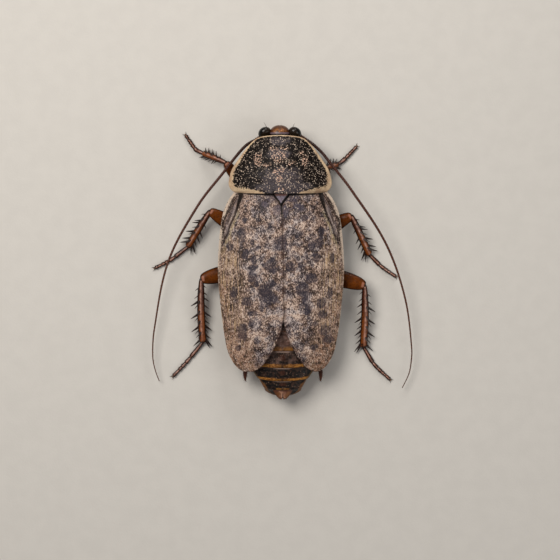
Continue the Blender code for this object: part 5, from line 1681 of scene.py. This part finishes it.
def make_cercus(side):
    flip = Vector((OUTWARD[side], 1.0, 1.0))
    root, tip = CERCUS_ROOT * flip + SIDEWAYS * ABDOMEN_X, CERCUS_TIP * flip + SIDEWAYS * ABDOMEN_X
    bend = root.lerp(tip, 0.5) + Vector((OUTWARD[side] * 0.05, 0.0, 0.03))
    joints = even_shares(CERCUS_JOINTS)
    jointed_piece(
        "cercus_" + side + "_ringed", Path([root, bend, tip]), joints, CERCUS_RADII, 20, JOINT_SWELL,
        CERCUS_HAIRS, random.Random(CERCUS_SEED), [FEELER_FINISH], ["cercus_" + side],
    )


# Head

def face_point(down, across, out):
    return VERTEX + FACE_DOWN * down + FACE_OUT * out + SIDEWAYS * across


def head_half(down, column):
    return along([(station[0], station[column]) for station in HEAD_STATIONS], down)


def face_surface(down, across, lift=0.0):
    """A point on the front of the head capsule."""
    share = min(abs(across) / head_half(down, 1), 1.0)
    return face_point(down, across, head_half(down, 2) * math.sqrt(1 - share ** 2) + lift)


def make_head():
    top, bottom = HEAD_STATIONS[0][0], HEAD_STATIONS[-1][0]
    rings, mouth = [], []
    for share in even_shares(HEAD_RINGS):
        down = between(top, bottom, (1 - math.cos(math.pi * share)) / 2)
        centre = VERTEX + FACE_DOWN * down
        half_width, half_depth = head_half(down, 1), head_half(down, 2)
        rings.append(ellipse(centre, SIDEWAYS, FACE_OUT, half_width, half_depth, HEAD_SIDES))
        mouth.append(eased(1.9, 2.5, down))
    bm = empty_body("mouth")
    made = loft(bm, rings)
    set_layer(bm, made, "mouth", mouth)
    for ring in made:
        for vert in ring:
            local = vert.co - VERTEX
            down, out, across = local.dot(FACE_DOWN), local.dot(FACE_OUT), local.x
            if out > 0:
                brow = 0.05 * math.exp(-((down - 1.05) / 0.35) ** 2 - (across / 0.5) ** 2)
                fork = abs(across) - 0.75 * max(0.0, down - 0.55)
                suture = 0.035 * math.exp(-(fork / 0.05) ** 2) * eased(1.4, 1.1, down)
                clypeus = 0.06 * math.exp(-((down - 2.12) / 0.06) ** 2) * eased(0.9, 0.6, abs(across))
                vert.co += FACE_OUT * (brow - suture - clypeus)
    for outward in OUTWARD.values():
        socket = face_surface(SCAPE_DOWN, outward * SCAPE_ACROSS)
        aim = (Vector((outward * SCAPE_BEND[0], *SCAPE_BEND[1:])) - socket).normalized()
        collar = Path([socket - aim * 0.25, socket + aim * 0.02, socket + aim * 0.16])
        shares = (0.0, 0.3, 0.62, 0.82, 0.95, 1.0)
        loft(bm, tube_rings(collar, (0.3, 0.34, 0.34, 0.31, 0.25, 0.16), shares, 28))
    finish_piece("head_capsule", bm, [HEAD_FINISH], ["head"])
    make_simple_eyes()
    make_mouth()


def make_simple_eyes():
    """The two pale simple eyes, small domes inside and above the antenna roots."""
    bm = bmesh.new()
    for outward in OUTWARD.values():
        centre = face_surface(SIMPLE_EYE_DOWN, outward * SIMPLE_EYE_ACROSS)
        cushion(bm, centre, SIMPLE_EYE_RADII, (20, 12), HEAD_LEAN)
    finish_piece("simple_eyes", bm, [PAD_FINISH])


def make_eye(side):
    """A compound eye: every second point of a fine sphere stands up as a facet, and its rim is paler."""
    outward = OUTWARD[side]
    bm = empty_body("rim")
    rim = bm.verts.layers.float["rim"]
    bmesh.ops.create_icosphere(bm, subdivisions=5, radius=1.0)
    facets = set(bm.verts)
    bmesh.ops.subdivide_edges(bm, edges=bm.edges[:], cuts=1, use_grid_fill=True)
    centre = face_point(EYE_DOWN, outward * EYE_ACROSS, EYE_OUT)
    turn = Matrix.Rotation(-outward * EYE_TURN, 3, "Z")
    for vert in bm.verts:
        way = vert.co.normalized()
        vert[rim] = 1 - max(0.0, 0.62 * outward * way.x + 0.58 * way.y - 0.2 * way.z)
        kidney = 1 - 0.1 * math.exp(-((way.z + 0.1) / 0.35) ** 2) * eased(-0.2, -0.9, outward * way.x)
        rise = FACET_RISE if vert in facets else 0.0
        size = [radius * kidney + rise for radius in EYE_RADII]
        off = SIDEWAYS * way.x * size[0] + FACE_OUT * way.y * size[1] + FACE_DOWN * way.z * size[2]
        off.rotate(turn)
        vert.co = centre + off
    finish_piece("compound_eye_" + side, bm, [EYE_FINISH], ["eye_" + side], 80.0)


def mouth_piece(name, rings, values, nodes=()):
    bm = empty_body("mouth")
    set_layer(bm, loft(bm, rings), "mouth", values)
    finish_piece(name, bm, [HEAD_FINISH], nodes)


def make_mouth():
    """Upper lip, jaws, and the plate under the mouth."""
    rings = []
    lip_halves = [(d, w) for d, w, _ in LIP_STATIONS], [(d, h) for d, _, h in LIP_STATIONS]
    shares = even_shares(MOUTH_STEPS["upper lip"])
    for share in shares:
        down = between(LIP_STATIONS[0][0], LIP_STATIONS[-1][0], math.sin(math.pi / 2 * share))
        half_width, half_depth = along(lip_halves[0], down), along(lip_halves[1], down)
        rings.append(ellipse(face_point(down, 0.0, 0.05), SIDEWAYS, FACE_OUT, half_width, half_depth, 40))
    mouth_piece("upper_lip", rings, [between(0.2, 0.7, share) for share in shares], ["labrum"])
    for side, outward in OUTWARD.items():
        path = Path([face_point(JAW_DOWN + down, outward * across, out) for down, across, out in JAW_POINTS])
        shares = even_shares(MOUTH_STEPS["jaw"])
        radii = [along(JAW_RADII, share) for share in shares]
        values = [between(0.3, 1.0, share) for share in shares]
        mouth_piece("jaw_" + side, tube_rings(path, radii, shares, 24, 0.8), values)
    path = Path([face_point(down, 0.0, out) for down, out in LOWER_LIP_POINTS])
    shares = even_shares(MOUTH_STEPS["lower lip"])
    rings = []
    for share in shares:
        half_width, half_depth = along(LOWER_LIP_HALF_WIDTHS, share), along(LOWER_LIP_HALF_DEPTHS, share)
        ring = ellipse(path.at(share), SIDEWAYS, FACE_OUT, half_width, half_depth, 32)
        cleft = FACE_OUT * 0.1 * eased(0.5, 0.9, share)
        rings.append([corner + cleft * math.exp(-((corner.x - HEAD_X) / 0.06) ** 2) for corner in ring])
    mouth_piece("lower_lip", rings, [between(0.0, 0.6, share) for share in shares])


def make_palp(side):
    """The five-jointed mouth feeler and the short three-jointed one behind it."""
    draw = random.Random(PALP_SEED)
    for name, points, joints, radii, sides, hairs, nodes in (
        ("mouth_feeler_", PALP_POINTS, PALP_JOINTS, PALP_RADII, 20, PALP_HAIRS, ["palp_" + side]),
        ("lip_feeler_", LOWER_PALP_POINTS, LOWER_PALP_JOINTS, LOWER_PALP_RADII, 16, LOWER_PALP_HAIRS, []),
    ):
        path = Path([Vector((HEAD_X + OUTWARD[side] * x, y, z)) for x, y, z in points])
        finishes = [FOOT_FINISH, SPINE_FINISH]
        jointed_piece(
            name + side, path, joints, radii, sides, PALP_SWELL, hairs, draw, finishes, nodes,
        )


# Antennae

def make_feeler(side):
    """The antenna's two first joints and its long ringed whip, whose rings grow longer to the tip."""
    outward = OUTWARD[side]
    socket = face_surface(SCAPE_DOWN, outward * SCAPE_ACROSS, 0.05)
    bend, end = (Vector((outward * x, y, z)) for x, y, z in (SCAPE_BEND, SCAPE_END))
    draw = random.Random(FEELER_SEED)
    jointed_piece(
        "feeler_root_" + side, Path([socket, bend, end]), SCAPE_JOINTS, SCAPE_RADII, 24, SCAPE_SWELL,
        SCAPE_HAIRS, draw, [FEELER_FINISH], ["antenna_" + side + "_scape"],
    )
    grown = FEELER_RINGS * 0.6
    sizes = [between(FEELER_FIRST_RING, 1.0, min(1.0, k / grown)) for k in range(FEELER_RINGS)]
    joints = [0.0]
    for size in sizes:
        joints.append(joints[-1] + size / sum(sizes))
    path = Path([Vector(point) for point in FEELER_POINTS[side]], 30)
    nodes = ["antenna_" + side + "_" + length for length in ("base", "middle", "tip")]
    jointed_piece(
        "feeler_whip_" + side, path, joints, FEELER_RADII, FEELER_SIDES, JOINT_SWELL,
        FEELER_HAIRS, draw, [FEELER_FINISH], nodes,
    )


# Legs

def write_across(bm, rings, sides, line):
    """Writes edge, 1 on the two thin edges and 0 on the faces, and the painted highlight line along the
    upper face.

    The painted highlight line lies at a share of the half-width.
    """
    edge, pale = [], []
    for angle in ring_angles(sides):
        edge.append(abs(math.cos(angle)))
        pale.append(eased(0.3, 0.12, abs(math.cos(angle) - line)) if math.sin(angle) > 0 else 0.0)
    set_layer(bm, rings, "edge", [edge] * len(rings))
    set_layer(bm, rings, "painted highlight line", [pale] * len(rings))


def limb(start, end, widths, thicknesses, bend=Vector((0.0, 0.0, 0.0)), keel=0.0, line=0.0):
    """A new body, a length of leg between two joints that is closed at both ends, and its directions.

    bend is how far its middle stands off the chord. Writes share, the way along it, edge and the painted
    highlight line.
    """
    heading = (end - start).normalized()
    across, upright = directions(heading)
    shares = sorted({share for share, _ in widths} | set(even_shares(22)))
    widest = max(width for _, width in widths)
    bm = empty_body("share", "edge", "painted highlight line")
    rings = []
    for share in shares:
        half_width = max(along(widths, share), 0.0) / 2
        half_height = between(*thicknesses, share) / 2 * min(1.0, 3.2 * half_width / widest)
        centre = start.lerp(end, share) + bend * math.sin(math.pi * share)
        ring = []
        for angle in ring_angles(LEG_SIDES):
            sideways, height = math.cos(angle), math.sin(angle)
            ridge = 1 + keel * math.exp(-((abs(sideways) - 0.62) / 0.16) ** 2) * (height > 0)
            ring.append(centre + across * half_width * sideways + upright * half_height * height * ridge)
        rings.append(ring)
    made = loft(bm, rings)
    set_layer(bm, made, "share", shares)
    write_across(bm, made, LEG_SIDES, line)
    close_poles(bm)
    return bm, heading, upright


def shin_spines(bm, row, knee, ankle, outer, bend, draw):
    """Rows of spines on a shin's edges and upper side that point to the foot."""
    heading = (ankle - knee).normalized()
    upright = directions(heading)[1]
    lifts = (0.0, 0.0, UPPER_SPINE_LIFT)
    for edge, lift_by, spines in zip((outer, -outer, outer), lifts, SHIN_SPINES[row]):
        for share, length, radius, degrees in spines:
            lean = math.radians(degrees + draw.uniform(-3.0, 3.0))
            lift = lift_by + draw.uniform(-0.3, 0.25) * (lift_by == 0)
            half_width = along(SHIN_WIDTHS[row], min(share, 0.95)) / 2
            out = edge * math.cos(lift) + upright * math.sin(lift)
            root = knee.lerp(ankle, share) + bend * math.sin(math.pi * share)
            root += edge * half_width * 0.72 * math.cos(lift)
            root += upright * TIBIA_THICKNESS / 2 * 0.72 * math.sin(lift)
            aim = (heading * math.cos(lean) + out * math.sin(lean)).normalized()
            girth = radius * SHIN_SPINE_GIRTH
            thorn(bm, root, aim, length + half_width * 0.3, girth, 8, draw.uniform(-0.05, 0.02), 1)


def leg_hairs(bm, start, end, widths, thickness, hairs, draw):
    """Short bristles over a length of leg; hairs says how many and how long."""
    count, length = hairs
    heading = (end - start).normalized()
    across, upright = directions(heading)
    for _ in range(count):
        share, angle = draw.uniform(0.08, 0.95), draw.uniform(0, 2 * math.pi)
        out = across * math.cos(angle) + upright * math.sin(angle)
        root = start.lerp(end, share) + across * along(widths, share) / 2 * 0.93 * math.cos(angle)
        root += upright * thickness / 2 * 0.93 * math.sin(angle)
        aim = (heading * 0.7 + out * 0.5).normalized()
        hair(bm, root, aim, length * draw.uniform(0.6, 1.2), finish=1)


def make_foot(name, ankle, toes):
    """Five joints, each with a soft pad below its end, then two claws with a cushion between them."""
    bend = ankle.lerp(Vector((*toes[0], FOOT_Z)), 0.3)
    bend.z = FOOT_Z + 0.03
    ends = [Vector((*place, FOOT_Z)) for place in toes]
    path = Path([ankle - UP * 0.05, bend, *ends], 16)
    bm = empty_body("share", "ring", "edge", "painted highlight line")
    centres = [(low + high) / 2 for low, high in zip(FOOT_JOINTS, FOOT_JOINTS[1:])]
    radii = list(zip(centres, FOOT_HALF_WIDTHS))
    ringed = ringed_tube(bm, path, FOOT_JOINTS, radii, FOOT_SIDES, FOOT_SWELL, FOOT_FLATNESS)
    share_layer = bm.verts.layers.float["share"]
    ring_layer = bm.verts.layers.float["ring"]
    for ring in ringed:
        for vert in ring:
            vert[share_layer] = vert[ring_layer]
    write_across(bm, ringed, FOOT_SIDES, FOOT_HIGHLIGHT_LINE)
    bristles(bm, path, FOOT_JOINTS, radii, FOOT_HAIRS, random.Random(FOOT_SEED), 1)
    for share in FOOT_JOINTS[1:-1]:
        spot = path.at(share - 0.035)
        cushion(bm, Vector((spot.x, spot.y, PAD_RADII[2])), PAD_RADII, finish=2)
    heading = path.heading(0.98)
    tip = path.at(1.0)
    for turn in (-CLAW_SPREAD, CLAW_SPREAD):
        aim = heading.copy()
        aim.rotate(Matrix.Rotation(turn, 3, "Z"))
        aim = (aim - UP * 0.1).normalized()
        thorn(bm, tip - heading * 0.1 + UP * 0.02, aim, CLAW_LENGTH, CLAW_RADIUS, 8, CLAW_CURL, 1)
    cushion(bm, tip + heading * 0.08 - UP * 0.06, CUSHION_RADII, finish=2)
    close_poles(bm)
    finish_piece("foot_" + name, bm, [FOOT_FINISH, SPINE_FINISH, PAD_FINISH], ["tarsus_" + name])


def make_leg(row, side):
    places = LEGS[(row, side)]
    name = row + "_" + side
    root = Vector((*places["root"], COXA_Z))
    hip = Vector((*places["hip"], COXA_Z))
    knee = Vector((*places["knee"], KNEE_Z))
    ankle = Vector((*places["ankle"], ANKLE_Z))
    draw = random.Random(LEG_SEED)

    bm = limb(root, hip, HIP_WIDTHS[row], (COXA_THICKNESS, COXA_THICKNESS * 0.9), keel=0.1)[0]
    leg_hairs(bm, root, hip, HIP_WIDTHS[row], COXA_THICKNESS, HIP_HAIRS, draw)
    finish_piece("hip_" + name, bm, [LEG_FINISH, SPINE_FINISH], ["coxa_" + name])

    out = (knee - hip).normalized()
    across = directions(out)[0]
    front_edge = across if across.y > 0 else -across
    widths = THIGH_WIDTHS[row]
    thickness = (FEMUR_THICKNESS, FEMUR_THICKNESS * 0.8)
    bend = front_edge * THIGH_BOW
    bm, heading, upright = limb(hip - out * 0.1, knee + out * 0.16, widths, thickness, bend)
    for k in range(THIGH_SPINES[row]):
        share = between(0.3, 0.88, k / (THIGH_SPINES[row] - 1))
        seat = hip.lerp(knee, share) - upright * thickness[1] * 0.38
        seat += front_edge * along(widths, share) * 0.22
        aim = (heading * 0.55 - upright * 0.75 + front_edge * 0.25).normalized()
        thorn(bm, seat, aim, *THIGH_SPINE, finish=1)
    knee_aim = (heading * 0.8 + upright * 0.35).normalized()
    thorn(bm, knee + upright * 0.2 - heading * 0.12, knee_aim, *KNEE_SPINE, finish=1)
    leg_hairs(bm, hip, knee, widths, thickness[1], THIGH_HAIRS, draw)
    finish_piece("thigh_" + name, bm, [LEG_FINISH, SPINE_FINISH], ["femur_" + name])

    down = (ankle - knee).normalized()
    across = directions(down)[0]
    outward = across.y if row == "front" else across.x * OUTWARD[side]
    outer = across if outward > 0 else -across
    bend = UP * 0.05 + outer * SHIN_BOW[row]
    widths = SHIN_WIDTHS[row]
    line = SHIN_HIGHLIGHT_LINE if outward > 0 else -SHIN_HIGHLIGHT_LINE
    thickness = (TIBIA_THICKNESS * 0.9, TIBIA_THICKNESS)
    bm = limb(knee - down * 0.12, ankle + down * 0.1, widths, thickness, bend, 0.0, line)[0]
    shin_spines(bm, row, knee, ankle, outer, bend, draw)
    leg_hairs(bm, knee, ankle, widths, TIBIA_THICKNESS, SHIN_HAIRS, draw)
    close_poles(bm)
    finish_piece("shin_" + name, bm, [SHIN_FINISH, SPINE_FINISH], ["tibia_" + name])
    make_foot(name, ankle, places["toes"])


def make_head_bristles():
    """The two long bristles beside the eyes that show past the head."""
    bm = bmesh.new()
    for root, tip in HEAD_BRISTLES:
        reach = Vector(tip) - Vector(root)
        thorn(bm, Vector(root), reach.normalized(), reach.length, HEAD_BRISTLE_RADIUS)
    finish_piece("head_bristles", bm, [SPINE_FINISH])


# Stage

def light(name, place, size, power, tint):
    lamp = bpy.data.lights.new(name, "AREA")
    lamp.shape = "DISK"
    lamp.size = size * MM
    lamp.energy = power
    lamp.color = tint
    made = placed(name, lamp)
    made.location = Vector(place) * MM
    aim = UP * 2.0 - Vector(place)
    made.rotation_mode = "QUATERNION"
    made.rotation_quaternion = aim.to_track_quat("-Z", "Y")


def make_stage():
    bm = bmesh.new()
    bmesh.ops.create_grid(bm, x_segments=1, y_segments=1, size=FLOOR_HALF * MM)
    mesh = bpy.data.meshes.new("floor")
    bm.to_mesh(mesh)
    bm.free()
    mesh.materials.append(floor_finish())
    floor = placed("floor", mesh)
    for name, facts in LIGHTS.items():
        light(name, *facts)
    world = bpy.data.worlds.new("sky")
    world.use_nodes = True
    sky = world.node_tree.nodes["Background"]
    sky.inputs["Color"].default_value = (*SKY_TINT, 1.0)
    sky.inputs["Strength"].default_value = SKY_STRENGTH
    bpy.context.scene.world = world
    bpy.context.scene.view_settings.view_transform = "Standard"


def make_camera():
    """Straight above, with the head towards the top of the picture."""
    camera = bpy.data.cameras.new("camera")
    camera.lens = LENS
    camera.sensor_width = SENSOR
    camera.clip_start = 0.01
    camera.clip_end = 10.0
    made = placed("camera", camera)
    distance = VIEW_WIDTH * LENS / SENSOR
    made.location = Vector((*VIEW_CENTRE, VIEW_HEIGHT + distance)) * MM
    bpy.context.scene.camera = made


WING_FINISH = cover_finish()
UNDER_FINISH = underside_finish()
HEAD_FINISH = head_finish()
EYE_FINISH = eye_finish()
LEG_FINISH = leg_finish()
SHIN_FINISH = shin_finish()
SPINE_FINISH = spine_finish()
FOOT_FINISH = foot_finish()
PAD_FINISH = pad_finish()
FEELER_FINISH = feeler_finish()

make_camera()
make_stage()
make_shield()
make_scutellum()
make_chest()
make_abdomen()
make_tail_lobes()
make_head()
make_head_bristles()
for side in OUTWARD:
    make_wing_cover(side)
    make_cercus(side)
    make_eye(side)
    make_palp(side)
    make_feeler(side)
for row, side in LEGS:
    make_leg(row, side)
